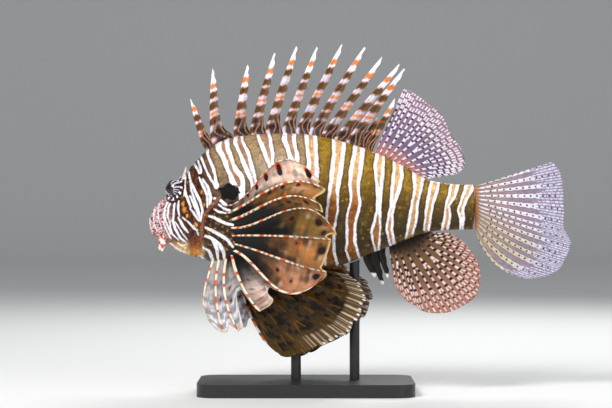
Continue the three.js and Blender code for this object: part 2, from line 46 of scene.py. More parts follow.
BACK = [
    (-113, 121), (-108, 130.5), (-102, 136.5), (-94, 145), (-85, 154), (-76, 164), (-68, 172),
    (-58, 177.5), (-44, 180.5), (-20, 181.8), (0, 181), (20, 177.5), (40, 171.5), (58, 164.2),
    (72, 156.5), (84, 150), (96, 147), (110, 146), (124, 146),
]
BELLY = [
    (-113, 113), (-107, 107.5), (-98, 101.5), (-88, 97), (-80, 94.4), (-72, 92.6), (-62, 89),
    (-48, 86.4), (-20, 85), (4, 86), (20, 88), (32, 91.5), (44, 96.5), (58, 101.8), (72, 107.6),
    (84, 111.6), (98, 113.4), (124, 113.8),
]
HALF_WIDTH = [
    (-113, 7.5), (-106, 10), (-97, 13), (-86, 17), (-76, 21), (-64, 24), (-50, 25.5), (-30, 25),
    (0, 22.5), (25, 19), (50, 14.5), (75, 10.2), (95, 7.6), (112, 5.8), (124, 3.6),
]
WIDEST = [(-113, 0.45), (-90, 0.44), (-70, 0.45), (-40, 0.47), (0, 0.5), (124, 0.5)]
SNOUT_ROUND = 6.0
TAIL_ROUND = 3.0
HEAD_TURN, HEAD_BEND_START, HEAD_BEND_END = 0.53, -60.0, 14.0
TAIL_TURN, TAIL_BEND_START, TAIL_BEND_END = 0.13, 58.0, 123.0
EYE_X, EYE_OUT, EYE_Z, EYE_RADIUS = -88.3, 11.0, 142.8, 6.5
SCALE_DEPTH = 0.5
LENS_HEIGHT = 132.0
LENS_DISTANCE = 1500.0


def curve(rows):
    """Smooth value through (x, value, value, ...) rows: cubic pieces, sloped by the neighbours' chords."""
    rows = np.array(rows, float)
    xs, ys = rows[:, 0], rows[:, 1:]
    before, after = np.r_[0, np.arange(len(xs) - 1)], np.r_[np.arange(1, len(xs)), len(xs) - 1]
    slopes = (ys[after] - ys[before]) / (xs[after] - xs[before])[:, None]

    def value(x):
        x = np.clip(np.asarray(x, float), xs[0], xs[-1])
        i = np.clip(np.searchsorted(xs, x, side="right") - 1, 0, len(xs) - 2)
        width = (xs[i + 1] - xs[i])[..., None]
        t = (x - xs[i])[..., None] / width
        out = (2 * t**3 - 3 * t**2 + 1) * ys[i] + (t**3 - 2 * t**2 + t) * width * slopes[i]
        out = out + (3 * t**2 - 2 * t**3) * ys[i + 1] + (t**3 - t**2) * width * slopes[i + 1]
        return out[..., 0] if ys.shape[1] == 1 else out

    return value


back_at, belly_at, half_width_at, widest_at = (curve(rows) for rows in (BACK, BELLY, HALF_WIDTH, WIDEST))


def middle_line(x):
    """Sideways place of the body's middle line: straight trunk, head and tail turned away alike."""
    span = HEAD_BEND_END - HEAD_BEND_START
    t = np.clip((HEAD_BEND_END - x) / span, 0, 1)
    head = HEAD_TURN * span * (t**3 - t**4 / 2) + HEAD_TURN * np.clip(HEAD_BEND_START - x, 0, None)
    tail_span = TAIL_BEND_END - TAIL_BEND_START
    return head + TAIL_TURN * tail_span * (np.clip(x - TAIL_BEND_START, 0, None) / tail_span) ** 2 / 2


def bend(x, y, z):
    """Straight fish to bent fish: y is measured square to the middle line at x, left negative."""
    x, y, z = np.broadcast_arrays(np.asarray(x, float), y, z)
    slope = (middle_line(x + 0.01) - middle_line(x - 0.01)) / 0.02
    length = np.sqrt(1 + slope**2)
    return np.stack([x - y * slope / length, middle_line(x) + y / length, z], -1)


def picture(x, y, z):
    """Where a point of the straight fish, or its left twin, shows in a side view, as x and height in mm."""
    place = bend(x, -np.abs(y), z)
    shrink = LENS_DISTANCE / (LENS_DISTANCE + place[..., 1])
    return place[..., 0] * shrink, LENS_HEIGHT + (place[..., 2] - LENS_HEIGHT) * shrink


def smooth(low, high, value):
    """0 below low, 1 above high, with a soft S between."""
    t = np.clip((value - low) / (high - low), 0, 1)
    return t * t * (3 - 2 * t)


def mix(a, b, t):
    """Share t of the way from a to b."""
    return a + (b - a) * t


def blend_colour(a, b, t):
    """Share t of the way from colour a to colour b, for arrays of colours."""
    return a + (b - a) * np.asarray(t)[..., None]


def colour(red, green, blue):
    """Linear colour from the everyday 0 to 255 values of a painted surface."""
    c = np.array([red, green, blue], float) / 255
    return np.where(c <= 0.04045, c / 12.92, ((c + 0.055) / 1.055) ** 2.4)


def ripple(x, y, size, seed=0.0):
    """Soft irregular field from -1 to 1 made of crossed sine waves about size mm long."""
    k = 2 * math.pi / size
    a = np.sin(k * (x + 0.37 * y) + seed) * np.sin(k * 0.83 * (y - 0.21 * x) + 1.7 * seed)
    b = np.sin(k * 1.9 * (0.8 * x - y) + 2.3 * seed) * np.sin(k * 1.6 * (x + 0.9 * y) + 0.6 * seed)
    return 0.65 * a + 0.35 * b


def to_path(x, z, path):
    """Distance from points to a path of (x, z) points, and the share of the way along it, 0 to 1."""
    path = np.array(path, float)
    best, share = np.full(np.shape(x), 1e9), np.zeros(np.shape(x))
    for i in range(len(path) - 1):
        (ax, az), (bx, bz) = path[i], path[i + 1]
        dx, dz = bx - ax, bz - az
        t = np.clip(((x - ax) * dx + (z - az) * dz) / (dx * dx + dz * dz), 0, 1)
        d = np.hypot(x - ax - t * dx, z - az - t * dz)
        share = np.where(d < best, (i + t) / (len(path) - 1), share)
        best = np.minimum(best, d)
    return best, share


def new_mesh(name, points, faces, fields, material, nodes):
    """Object from points in mm and faces, carrying named point fields, riding the body for its nodes."""
    mesh = bpy.data.meshes.new(name)
    mesh.from_pydata((points * MM).tolist(), [], faces)
    for key, values in fields.items():
        kind = "FLOAT_COLOR" if values.ndim == 2 else "FLOAT"
        layer = mesh.attributes.new(key, kind, "POINT")
        if values.ndim == 2:
            layer.data.foreach_set("color", np.c_[values, np.ones(len(values))].ravel())
        else:
            layer.data.foreach_set("value", values.ravel())
    mesh.polygons.foreach_set("use_smooth", [True] * len(mesh.polygons))
    mesh.materials.append(material)
    piece = bpy.data.objects.new(name, mesh)
    bpy.context.collection.objects.link(piece)
    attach(piece, "root")
    if nodes:
        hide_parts(*nodes)
    return piece


# Painted skin
# One shader for all flesh: a ground colour laid on each point, pale lines and dark spots cut crisply from
# distances in millimetres, a fine grain, and a wet film over it.
def node_group_markings():
    """Colour, roughness and height from the ground colour and the pale and dark distances."""
    group = bpy.data.node_groups.new("markings", "ShaderNodeTree")
    face = group.interface
    face.new_socket("Ground", in_out="INPUT", socket_type="NodeSocketColor")
    face.new_socket("Pale", in_out="INPUT", socket_type="NodeSocketFloat")
    face.new_socket("Dark", in_out="INPUT", socket_type="NodeSocketFloat")
    face.new_socket("Pale colour", in_out="INPUT", socket_type="NodeSocketColor")
    face.new_socket("Dark colour", in_out="INPUT", socket_type="NodeSocketColor")
    face.new_socket("Grain", in_out="INPUT", socket_type="NodeSocketFloat")
    face.new_socket("Colour", in_out="OUTPUT", socket_type="NodeSocketColor")
    face.new_socket("Roughness", in_out="OUTPUT", socket_type="NodeSocketFloat")
    face.new_socket("Height", in_out="OUTPUT", socket_type="NodeSocketFloat")
    nodes, links = group.nodes, group.links
    given, given_out = nodes.new("NodeGroupInput"), nodes.new("NodeGroupOutput")
    place = nodes.new("ShaderNodeTexCoord")

    def noise(scale, detail):
        node = nodes.new("ShaderNodeTexNoise")
        node.inputs["Scale"].default_value = scale
        node.inputs["Detail"].default_value = detail
        links.new(place.outputs["Object"], node.inputs["Vector"])
        return node.outputs["Fac"]

    def ranged(value, from_low, from_high, to_low, to_high):
        node = nodes.new("ShaderNodeMapRange")
        links.new(value, node.inputs["Value"])
        for key, number in zip(
            ("From Min", "From Max", "To Min", "To Max"), (from_low, from_high, to_low, to_high)
        ):
            node.inputs[key].default_value = number
        return node.outputs["Result"]

    def mixed(share, a, b):
        node = nodes.new("ShaderNodeMix")
        node.data_type = "RGBA"
        links.new(share, node.inputs["Factor"])
        links.new(a, node.inputs["A"])
        links.new(b, node.inputs["B"])
        return node.outputs["Result"]

    def maths(operation, a, b):
        node = nodes.new("ShaderNodeMath")
        node.operation = operation
        for socket, value in zip(node.inputs, (a, b)):
            if isinstance(value, (int, float)):
                socket.default_value = value
            else:
                links.new(value, socket)
        return node.outputs["Value"]

    fine, coarse = noise(1500.0, 3.0), noise(260.0, 4.0)
    wobble = maths("MULTIPLY", maths("SUBTRACT", noise(420.0, 2.0), 0.5), 0.6)
    pale = ranged(maths("ADD", given.outputs["Pale"], wobble), -0.32, 0.32, 1.0, 0.0)
    dark = ranged(maths("ADD", given.outputs["Dark"], wobble), -0.3, 0.3, 1.0, 0.0)
    base = mixed(pale, given.outputs["Ground"], given.outputs["Pale colour"])
    base = mixed(dark, base, given.outputs["Dark colour"])
    speckle = maths("ADD", ranged(fine, 0.3, 0.7, -0.28, 0.28), ranged(coarse, 0.3, 0.7, -0.2, 0.2))
    bright = maths("ADD", maths("MULTIPLY", speckle, given.outputs["Grain"]), 1.0)
    scaled = nodes.new("ShaderNodeVectorMath")
    scaled.operation = "SCALE"
    links.new(base, scaled.inputs[0])
    links.new(bright, scaled.inputs["Scale"])
    links.new(scaled.outputs["Vector"], given_out.inputs["Colour"])
    links.new(ranged(coarse, 0.3, 0.7, 0.3, 0.5), given_out.inputs["Roughness"])
    links.new(maths("ADD", fine, maths("MULTIPLY", coarse, 0.6)), given_out.inputs["Height"])
    return group


MARKINGS = node_group_markings()


def flesh_material(name, pale_colour, dark_colour, grain, bump, coat, subsurface=0.0):
    """Wet skin whose markings come from the piece's own fields."""
    material = bpy.data.materials.new(name)
    material.use_nodes = True
    nodes, links = material.node_tree.nodes, material.node_tree.links
    shader = nodes["Principled BSDF"]
    marks = nodes.new("ShaderNodeGroup")
    marks.node_tree = MARKINGS
    for key, socket in (("ground", "Ground"), ("pale", "Pale"), ("dark", "Dark")):
        field = nodes.new("ShaderNodeAttribute")
        field.attribute_name = key
        links.new(field.outputs["Color" if key == "ground" else "Fac"], marks.inputs[socket])
    marks.inputs["Pale colour"].default_value = (*pale_colour, 1)
    marks.inputs["Dark colour"].default_value = (*dark_colour, 1)
    marks.inputs["Grain"].default_value = grain
    bumps = nodes.new("ShaderNodeBump")
    bumps.inputs["Strength"].default_value = bump
    bumps.inputs["Distance"].default_value = 0.0004
    links.new(marks.outputs["Height"], bumps.inputs["Height"])
    links.new(bumps.outputs["Normal"], shader.inputs["Normal"])
    links.new(marks.outputs["Colour"], shader.inputs["Base Color"])
    links.new(marks.outputs["Roughness"], shader.inputs["Roughness"])
    shader.inputs["Coat Weight"].default_value = coat
    shader.inputs["Coat Roughness"].default_value = 0.18
    shader.inputs["Specular IOR Level"].default_value = 0.2
    shader.inputs["Subsurface Weight"].default_value = subsurface
    shader.inputs["Subsurface Radius"].default_value = (0.002, 0.001, 0.0006)
    return material


WHITE = colour(252, 248, 252)
BLACK = colour(10, 7, 8)
OLIVE = colour(86, 63, 11)
DEEP_OLIVE = colour(56, 42, 8)
GOLD = colour(166, 128, 40)
RED_BROWN = colour(66, 27, 17)
PURPLE_BROWN = colour(48, 26, 30)

skin_material = flesh_material("skin", WHITE, BLACK, 1.0, 0.35, 0.12, 0.03)
scale_material = flesh_material("scales", WHITE, BLACK, 1.2, 0.25, 0.14)
fin_material = flesh_material("fin", colour(246, 240, 246), colour(26, 12, 14), 0.7, 0.3, 0.06)
spine_material = flesh_material("spine", colour(246, 242, 244), colour(50, 34, 20), 0.6, 0.3, 0.06)

# Body markings
# Narrow pale lines cross the body in pairs with tan between the two of a pair, and fan over the cheek and
# snout. They are drawn once on the left side, as x and height in mm, and the right side mirrors them.
BODY_PAIRS = [
    (1.2, [(-59.7, 178.7), (-61.4, 173.1), (-60.9, 169.8), (-58.1, 165.1), (-56.2, 160.5),
         (-54.8, 155.8), (-53.0, 152.5), (-51.6, 147.9), (-49.7, 144.6), (-46.0, 141.3), (-44.6, 124.5),
         (-47.8, 96.5)]),
    (1.1, [(-55.1, 180.5), (-55.5, 175.9), (-54.8, 171.2), (-52.5, 165.1), (-50.6, 159.1),
         (-48.3, 154.9), (-45.5, 151.6), (-44.1, 147.9), (-44.1, 143.2), (-42.2, 124.5), (-44.1, 96.5)]),
    (0.9, [(-48.8, 181.0), (-49.7, 174.9), (-47.4, 169.8), (-45.5, 165.6), (-43.6, 160.5),
         (-41.3, 155.3), (-39.4, 150.7), (-37.8, 146.9), (-36.6, 124.5), (-38.5, 96.5)]),
    (0.8, [(-45.0, 181.0), (-44.6, 176.3), (-42.2, 171.2), (-39.9, 166.5), (-39.0, 161.9),
         (-37.6, 157.2), (-36.2, 152.5), (-35.2, 148.8), (-32.9, 124.5), (-33.8, 96.5)]),
    (0.9, [(-34.3, 183.3), (-32.9, 177.7), (-31.0, 173.1), (-28.7, 167.5), (-26.8, 161.9),
         (-25.0, 157.7), (-24.0, 143.2), (-25.4, 96.5)]),
    (0.75, [(-26.8, 182.4), (-25.0, 177.7), (-24.0, 171.2), (-23.3, 166.5), (-23.3, 161.9),
         (-23.6, 158.1), (-22.6, 143.2), (-23.1, 96.5)]),
    (1.1, [(-14.7, 183.3), (-15.2, 177.7), (-13.3, 172.1), (-11.9, 167.5), (-10.5, 163.3),
         (-10.0, 143.2), (-11.9, 96.5)]),
    (0.9, [(-8.2, 183.3), (-8.6, 176.8), (-7.2, 171.2), (-6.3, 167.5), (-6.3, 163.7), (-5.4, 143.2),
         (-6.8, 96.5)]),
    (1.0, [(0.0, 183.8), (0.7, 173.3), (2.1, 162.8), (0.7, 141.8), (-2.1, 113.8), (-2.1, 87.2)]),
    (1.0, [(6.3, 183.8), (7.0, 169.8), (7.7, 155.1), (5.6, 134.8), (3.5, 106.8), (3.5, 87.2)]),
    (1.0, [(18.9, 183.8), (19.6, 167.0), (17.5, 147.4), (16.1, 137.6), (14.4, 123.6), (13.3, 108.2),
         (13.3, 90.0)]),
    (1.0, [(27.0, 178.2), (26.6, 174.0), (24.5, 155.8), (22.0, 141.8), (22.4, 127.8), (19.6, 113.8),
         (19.6, 99.8), (22.0, 88.6)]),
    (0.9, [(34.6, 183.8), (34.3, 169.8), (31.5, 155.8), (30.8, 146.0), (31.5, 134.8), (28.7, 123.6),
         (28.7, 105.4), (28.0, 99.8), (31.2, 90.0)]),
    (1.0, [(40.7, 178.2), (39.9, 172.6), (38.2, 155.8), (36.4, 144.6), (37.8, 132.0), (34.3, 118.0),
         (34.3, 105.4), (36.4, 97.0), (39.2, 91.4)]),
    (0.9, [(51.8, 174.0), (50.4, 169.8), (48.3, 158.6), (50.0, 141.8), (49.7, 127.8), (48.3, 120.8),
         (45.8, 112.4), (46.9, 105.4), (50.0, 94.2)]),
    (0.9, [(55.0, 171.2), (54.6, 167.0), (53.9, 155.8), (52.5, 143.2), (51.8, 127.8), (51.9, 113.8),
         (51.4, 105.4), (50.5, 94.2)]),
    (0.9, [(62.0, 168.4), (61.6, 155.8), (60.2, 141.8), (59.5, 130.6), (57.8, 123.6), (56.4, 113.8),
         (58.4, 105.4), (61.7, 95.6)]),
    (1.0, [(66.2, 165.6), (67.2, 151.6), (65.1, 141.8), (62.3, 133.4), (60.6, 125.0), (60.1, 113.8),
         (61.7, 105.4), (64.0, 98.4)]),
    (0.9, [(74.6, 160.0), (75.6, 154.4), (76.3, 141.8), (74.2, 132.0), (72.1, 120.8), (70.1, 108.2)]),
    (0.9, [(82.6, 155.8), (81.9, 151.6), (80.5, 141.8), (78.0, 132.0), (77.4, 120.8), (74.6, 111.0)]),
    (0.9, [(88.9, 151.6), (88.2, 148.8), (86.1, 139.0), (84.0, 127.8), (82.7, 113.8)]),
    (0.9, [(93.8, 151.6), (93.1, 148.1), (91.7, 140.4), (88.9, 132.0), (87.5, 123.6), (85.8, 113.8)]),
    (0.8, [(102.1, 150.2), (101.5, 146.0), (100.1, 137.6), (98.0, 132.0), (97.3, 123.6), (95.1, 113.8)]),
    (0.8, [(106.8, 150.2), (106.4, 146.0), (104.3, 137.6), (100.1, 130.6), (100.9, 123.6), (99.0, 113.8)]),
    (0.9, [(113.5, 150.2), (112.7, 146.0), (109.9, 137.6), (106.4, 127.8), (108.5, 120.8), (107.7, 112.4)]),
    (0.9, [(118.6, 148.8), (117.6, 144.6), (113.0, 136.2), (109.9, 129.2), (110.2, 122.2), (109.6, 112.4)]),
]
NAPE_LINES = [
    (1.0, [(-69.3, 172), (-68.8, 166.5), (-67, 161.9), (-65.1, 157.2), (-63.7, 152.5),
         (-63.2, 148.8), (-61.5, 143.5)]),
    (0.8, [(-74.9, 168), (-71.2, 159.1), (-69.3, 154.4), (-67, 149.7), (-64.6, 146.5), (-63, 143.2)]),
    (0.7, [(-79.4, 162), (-77.3, 158.6), (-74.6, 153.7)]),
    (0.7, [(-75.6, 162.8), (-73.8, 156.5), (-73.5, 153.7)]),
    (0.9, [(-64, 135.8), (-59.5, 134.6), (-56, 131.2)]),
    (0.7, [(-61, 131.6), (-57.5, 128.6), (-53, 127.5)]),
]
# Lines of the cheek, brow and snout, then those of the shoulder behind the gill cover
FACE_LINES = [
    (0.8, [(-74.9, 150.6), (-72.4, 145.3), (-69.3, 138.3), (-68.9, 129.6)]),
    (0.9, [(-72.1, 149.5), (-68.6, 143.6), (-66.5, 136.6), (-67.2, 131.3)]),
    (0.9, [(-82.9, 156.5), (-80.5, 147.1), (-77.7, 141.1), (-74.2, 134.1), (-72.4, 127.1), (-73.8, 120.1)]),
    (0.8, [(-84, 152.3), (-85.1, 146), (-84.3, 139), (-82, 133.1), (-80.5, 129.6)]),
    (0.8, [(-81.2, 137.6), (-78.5, 132), (-75.9, 126.1), (-74.2, 121.5)]),
    (0.7, [(-89, 134.5), (-89.6, 129.6), (-88.6, 123.6)]),
    (0.8, [(-92.1, 133.8), (-92.5, 127.8), (-93.1, 120.8), (-91.7, 114.6), (-88.2, 108.6), (-84, 105.1)]),
    (0.9, [(-89.6, 122.6), (-86.1, 116.6), (-82.6, 112.1)]),
    (0.6, [(-86.4, 122.6), (-82, 119.1), (-78.5, 114.6), (-75.9, 113.8)]),
    (0.6, [(-96, 134.1), (-98.7, 129.6), (-99.5, 122.6), (-96.9, 116.6), (-94.5, 111.1)]),
    (0.5, [(-93.8, 134.8), (-96.2, 129.9), (-96.9, 123.6), (-95.2, 118)]),
    (0.5, [(-94.8, 120.8), (-95.2, 115.6), (-93.1, 110.3), (-89, 106.8)]),
    (0.6, [(-99, 146), (-97, 149.8), (-93.1, 152.6), (-88.2, 153.9), (-85.4, 153)]),
    (0.5, [(-85.4, 147.4), (-84.4, 142.5), (-85.5, 137.6)]),
    (0.35, [(-102.2, 134.1), (-103.6, 127.8), (-103.2, 121.5), (-100.8, 115.2)]),
    (0.35, [(-105.3, 130.6), (-106.8, 125), (-106.4, 118.7), (-104.3, 113.1)]),
    (0.35, [(-108.5, 124.3), (-109.5, 119.4), (-108.5, 114.5)]),
    (0.5, [(-89.6, 104.7), (-86.8, 102.6), (-83.3, 104)]),
    (0.5, [(-95.2, 104.7), (-91.7, 101.9), (-87.5, 99.1), (-81.9, 97.7)]),
    (1.0, [(-68, 123.6), (-64.5, 122.6), (-60.2, 120.1), (-54.9, 118), (-50.4, 117.3)]),
    (1.1, [(-70.7, 115.6), (-66.5, 113.8), (-60.2, 110.3), (-54.9, 106.8), (-51.1, 101.9)]),
    (1.2, [(-71.1, 109.6), (-67.2, 108.6), (-63.7, 106.1), (-60.2, 103.3), (-57.7, 98.1), (-56.7, 91.4)]),
    (1.0, [(-65.8, 106.8), (-62.3, 100.5), (-61.6, 92.8)]),
    (1.0, [(-72.4, 101.6), (-68, 99.1), (-65.5, 93.6), (-65.1, 88.6)]),
    (0.9, [(-74.2, 95.6), (-68.9, 91.1), (-66.5, 85.8)]),
    (0.7, [(-64.4, 128.5), (-60.9, 126.4), (-56, 125.7)]),
    (0.7, [(-80.9, 146), (-80.2, 141.1), (-78.4, 136.2), (-76.3, 130.6), (-74.9, 125.7), (-74.4, 121.5)]),
    (0.7, [(-81.5, 129.2), (-79.1, 126.4), (-77, 122.9), (-74.9, 120.1)]),
    (0.45, [(-91.3, 119.4), (-88.9, 115.2), (-85.8, 110.3), (-83, 106.8)]),
    (0.45, [(-100.1, 119.4), (-98.7, 115.9), (-96.6, 111.7), (-94.6, 107.8)]),
    (0.5, [(-78.8, 117), (-76.3, 113.1), (-75.2, 109.6)]),
]
FACE_WEIGHT = 0.98
FACE_GOLD = [
    (-86.1, 132, 2.4), (-85.2, 128, 2.6), (-83.3, 123.8, 2), (-77, 117.6, 2.2), (-72.8, 140.4, 1.6),
    (-71.2, 131.5, 1.8)
]
LATERAL_SPOTS = [(17.5, 147.4), (30.8, 146), (52.5, 143.3), (60.2, 141.8), (2.1, 150)]
GILL_EDGE = [
    (-60.2, 136.6), (-67.2, 129.6), (-71.1, 123.6), (-72.4, 117.3), (-72.6, 109.6), (-74.2, 99.8),
    (-76.3, 95.6)
]
# Path of the painted shadow where the pectoral fin meets the body
FIN_ROOT_SHADOW = [(-51.5, 131), (-49.5, 121), (-48.5, 110), (-49, 100), (-53, 95)]
MOUTH = [(-112, 112), (-107.8, 109.6), (-103.6, 106.8), (-98, 103.4), (-93.1, 101)]


def body_fields(x, y, z):
    """Ground colour with a painted shadow round the pectoral fin's root, distance to a pale line and distance
    to a dark mark, for points of the straight fish.
    """
    px, pz = picture(x, y, z)
    wander = 0.35 * ripple(px, pz, 11, 1.0)
    pale = np.full(px.shape, 9.0)
    inside = np.zeros(px.shape)
    for k, (half, path) in enumerate(BODY_PAIRS):
        distance, share = to_path(px + wander, pz, path)
        weight = mix(0.9, 1.4, smooth(126, 156, pz)) * (1 + 0.16 * np.sin(11 * share + k))
        pale = np.minimum(pale, distance - half * weight)
        line_z, line_x = np.array(path)[::-1, 1], np.array(path)[::-1, 0]
        past = px + wander - np.interp(pz, line_z, line_x)
        if k % 2 == 0:
            behind_first = past
        else:
            inside = np.maximum(inside, smooth(-0.4, 0.4, behind_first) * smooth(0.4, -0.4, past))
    for half, path in NAPE_LINES:
        distance, _ = to_path(px + wander, pz, path)
        pale = np.minimum(pale, distance - half)
    for half, path in FACE_LINES:
        distance, share = to_path(px + 0.6 * wander, pz, path)
        pale = np.minimum(pale, distance - half * FACE_WEIGHT * (0.7 + 0.4 * np.sin(math.pi * share)))
    for spot in LATERAL_SPOTS:
        pale = np.minimum(pale, np.hypot(px - spot[0], pz - spot[1]) - 1.25)
    up = np.clip((z - belly_at(x)) / (back_at(x) - belly_at(x)), 0, 1)
    ground = blend_colour(OLIVE, GOLD, 0.9 * smooth(0.45, 0.85, up) * (0.75 + 0.25 * ripple(px, pz, 23)))
    ground = blend_colour(ground, DEEP_OLIVE, smooth(0.5, 0.15, up))
    fore = smooth(8, -6, px)
    ashen = blend_colour(colour(78, 60, 56), colour(160, 134, 104), smooth(0.45, 0.9, up))
    ground = blend_colour(ground, ashen, 0.8 * fore)
    sheen = smooth(0.15, 0.8, ripple(px, pz, 9, 2.2)) * smooth(1.5, 3.5, pale)
    ground = blend_colour(ground, colour(178, 136, 40), mix(0.25, 0.5, fore) * sheen)
    ground = blend_colour(ground, PURPLE_BROWN, 0.85 * smooth(1.3, 0.25, pale) * (1 - inside))
    upper = blend_colour(colour(226, 180, 128), colour(160, 120, 98), fore)
    fill = blend_colour(colour(150, 80, 16), upper, smooth(0.45, 0.78, up))
    fill = blend_colour(fill, colour(190, 132, 66), 0.5 * smooth(0.1, 0.8, ripple(px, pz, 10, 1.2)))
    fill = blend_colour(
        fill, colour(70, 46, 22), 0.7 * smooth(0.2, 0.7, ripple(px, pz, 13, 4.0)) * smooth(0.6, 0.3, up)
    )
    fill = blend_colour(fill, colour(222, 180, 126), 0.7 * smooth(38, 74, px))
    ground = blend_colour(ground, fill, 0.9 * inside)
    head = smooth(-62, -74, px)
    face = blend_colour(RED_BROWN, colour(128, 66, 28), smooth(0.0, 0.9, ripple(px, pz, 5.5, 2.0)))
    face = blend_colour(face, colour(210, 128, 40), 0.6 * smooth(0.35, 0.9, ripple(px, pz, 8.5, 4.0)))
    for spot_x, spot_z, size in FACE_GOLD:
        off_spot = np.hypot((px - spot_x) * 1.5, pz - spot_z) + 0.6 * ripple(px, pz, 3.1, spot_x)
        face = blend_colour(face, colour(238, 166, 62), 0.95 * smooth(size, 0.4 * size, off_spot))
    face = blend_colour(face, colour(24, 10, 18), 0.9 * smooth(1.0, 0.15, pale))
    ground = blend_colour(ground, face, head)
    throat = smooth(-99, -90, px) * smooth(-66, -72, px) * smooth(108, 101, pz)
    gilded = blend_colour(
        colour(226, 156, 52), colour(255, 238, 186), smooth(-0.3, 0.6, ripple(px, pz, 4, 6.0))
    )
    ground = blend_colour(ground, gilded, 0.95 * throat)
    snout = smooth(-92, -100, px) * smooth(142, 136, pz)
    warped = px + 2.0 * ripple(px, pz, 6, 1.0) + 0.8 * ripple(pz, px, 3.4, 2.0)
    network = ripple(warped, pz, 3.6, 3.3) + 0.6 * ripple(pz, warped, 2.2, 5.1)
    flush = blend_colour(colour(96, 36, 32), colour(196, 96, 52), smooth(0.0, 0.6, ripple(px, pz, 8, 4.4)))
    wrinkled = blend_colour(flush, colour(240, 208, 212), smooth(-0.15, 0.25, network))
    ground = blend_colour(ground, wrinkled, 0.85 * snout)
    lips = smooth(4.5, 0.5, to_path(px, pz, MOUTH)[0])
    ground = blend_colour(ground, colour(150, 72, 62), 0.5 * lips)
    orbit = np.hypot(x - EYE_X, z - EYE_Z)
    bearing = np.arctan2(z - EYE_Z, x - EYE_X)
    spokes = np.cos(11 * bearing + 1.1 * np.sin(2 * bearing + 1) + 0.5 * orbit) - 0.3 * np.sin(3 * bearing)
    near = smooth(9.4, 8.4, orbit) * smooth(5.2, 6.2, orbit)
    ground = blend_colour(ground, colour(26, 16, 26), 0.8 * smooth(11.5, 8.5, orbit))
    pale = np.where(near > 0.5, np.minimum(pale, (0.42 - spokes) * 1.3), np.where(orbit < 10, 5.0, pale))
    belly = smooth(0.1, 0.0, up) * smooth(-74, -50, x)
    ground = blend_colour(ground, colour(120, 96, 60), 0.7 * belly)
    base = smooth(-40, -48, px) * smooth(134, 126, pz) * smooth(-74, -70, px)
    freckled = blend_colour(
        colour(44, 26, 14), colour(190, 124, 40), smooth(0.35, 0.8, ripple(px, pz, 5.5, 7.0))
    )
    ground = blend_colour(ground, freckled, 0.9 * base)
    # Painted shadow: near black at the pectoral fin's root line, fading out over 5 mm of skin
    ground = blend_colour(ground, colour(12, 8, 7), smooth(5.0, 1.0, to_path(px, pz, FIN_ROOT_SHADOW)[0]))
    shoulder = np.hypot((px + 53.5) / 7.5, (pz - 140.5) / 6.0)
    dark = (shoulder - 1 + 0.28 * ripple(px, pz, 8, 2.0) + 0.06 * ripple(px, pz, 4, 1.0)) * 4
    gill, _ = to_path(px, pz, GILL_EDGE)
    ribbon = smooth(1.5, 0.7, gill)
    ground = blend_colour(ground, colour(168, 104, 74), 0.75 * ribbon)
    pale = np.where(ribbon > 0.3, np.maximum(pale, 1.0), pale)
    patch = np.hypot((px + 77.5) / 4.5, (pz - 102.5) / 8.0)
    amber = blend_colour(colour(118, 50, 8), colour(232, 150, 24), smooth(104, 97, pz))
    ground = blend_colour(ground, amber, 0.95 * smooth(1.15, 0.7, patch))
    pale = np.where(patch < 1, np.maximum(pale, 1.0), pale)
    return ground, pale, dark


# Skin
# One closed skin runs from lips to tail root. It adds the eye sockets, brow ridge, lips, mouth, gill
# cover's free edge and the wrinkles of the snout to the solids' smooth body.
def plain_skin(x, angle, grow):
    """Point of the straight body: half width and height at x, rounded at the snout and the tail's root."""
    snout = np.clip((SNOUT - grow + SNOUT_ROUND - x) / SNOUT_ROUND, 0, 1)
    tail = np.clip((x - BODY_END - grow + TAIL_ROUND) / TAIL_ROUND, 0, 1)
    rounding = np.sqrt(1 - snout**2) * np.sqrt(1 - tail**2)
    back, belly = back_at(x) + grow, belly_at(x) - grow
    middle = belly + (back - belly) * widest_at(x)
    up, side = np.sin(angle), np.cos(angle)
    out = (half_width_at(x) + grow) * np.abs(side) ** np.where(up > 0, 1.18, 0.92)
    z = middle + np.where(up > 0, back - middle, middle - belly) * up * rounding
    brow = 2.2 * np.exp(-(((x - EYE_X) / 8) ** 2) - ((z - EYE_Z - 3) / 8) ** 2) * np.abs(side) ** 0.5
    return np.stack([x, -np.sign(side) * (out * rounding + brow), z], -1)


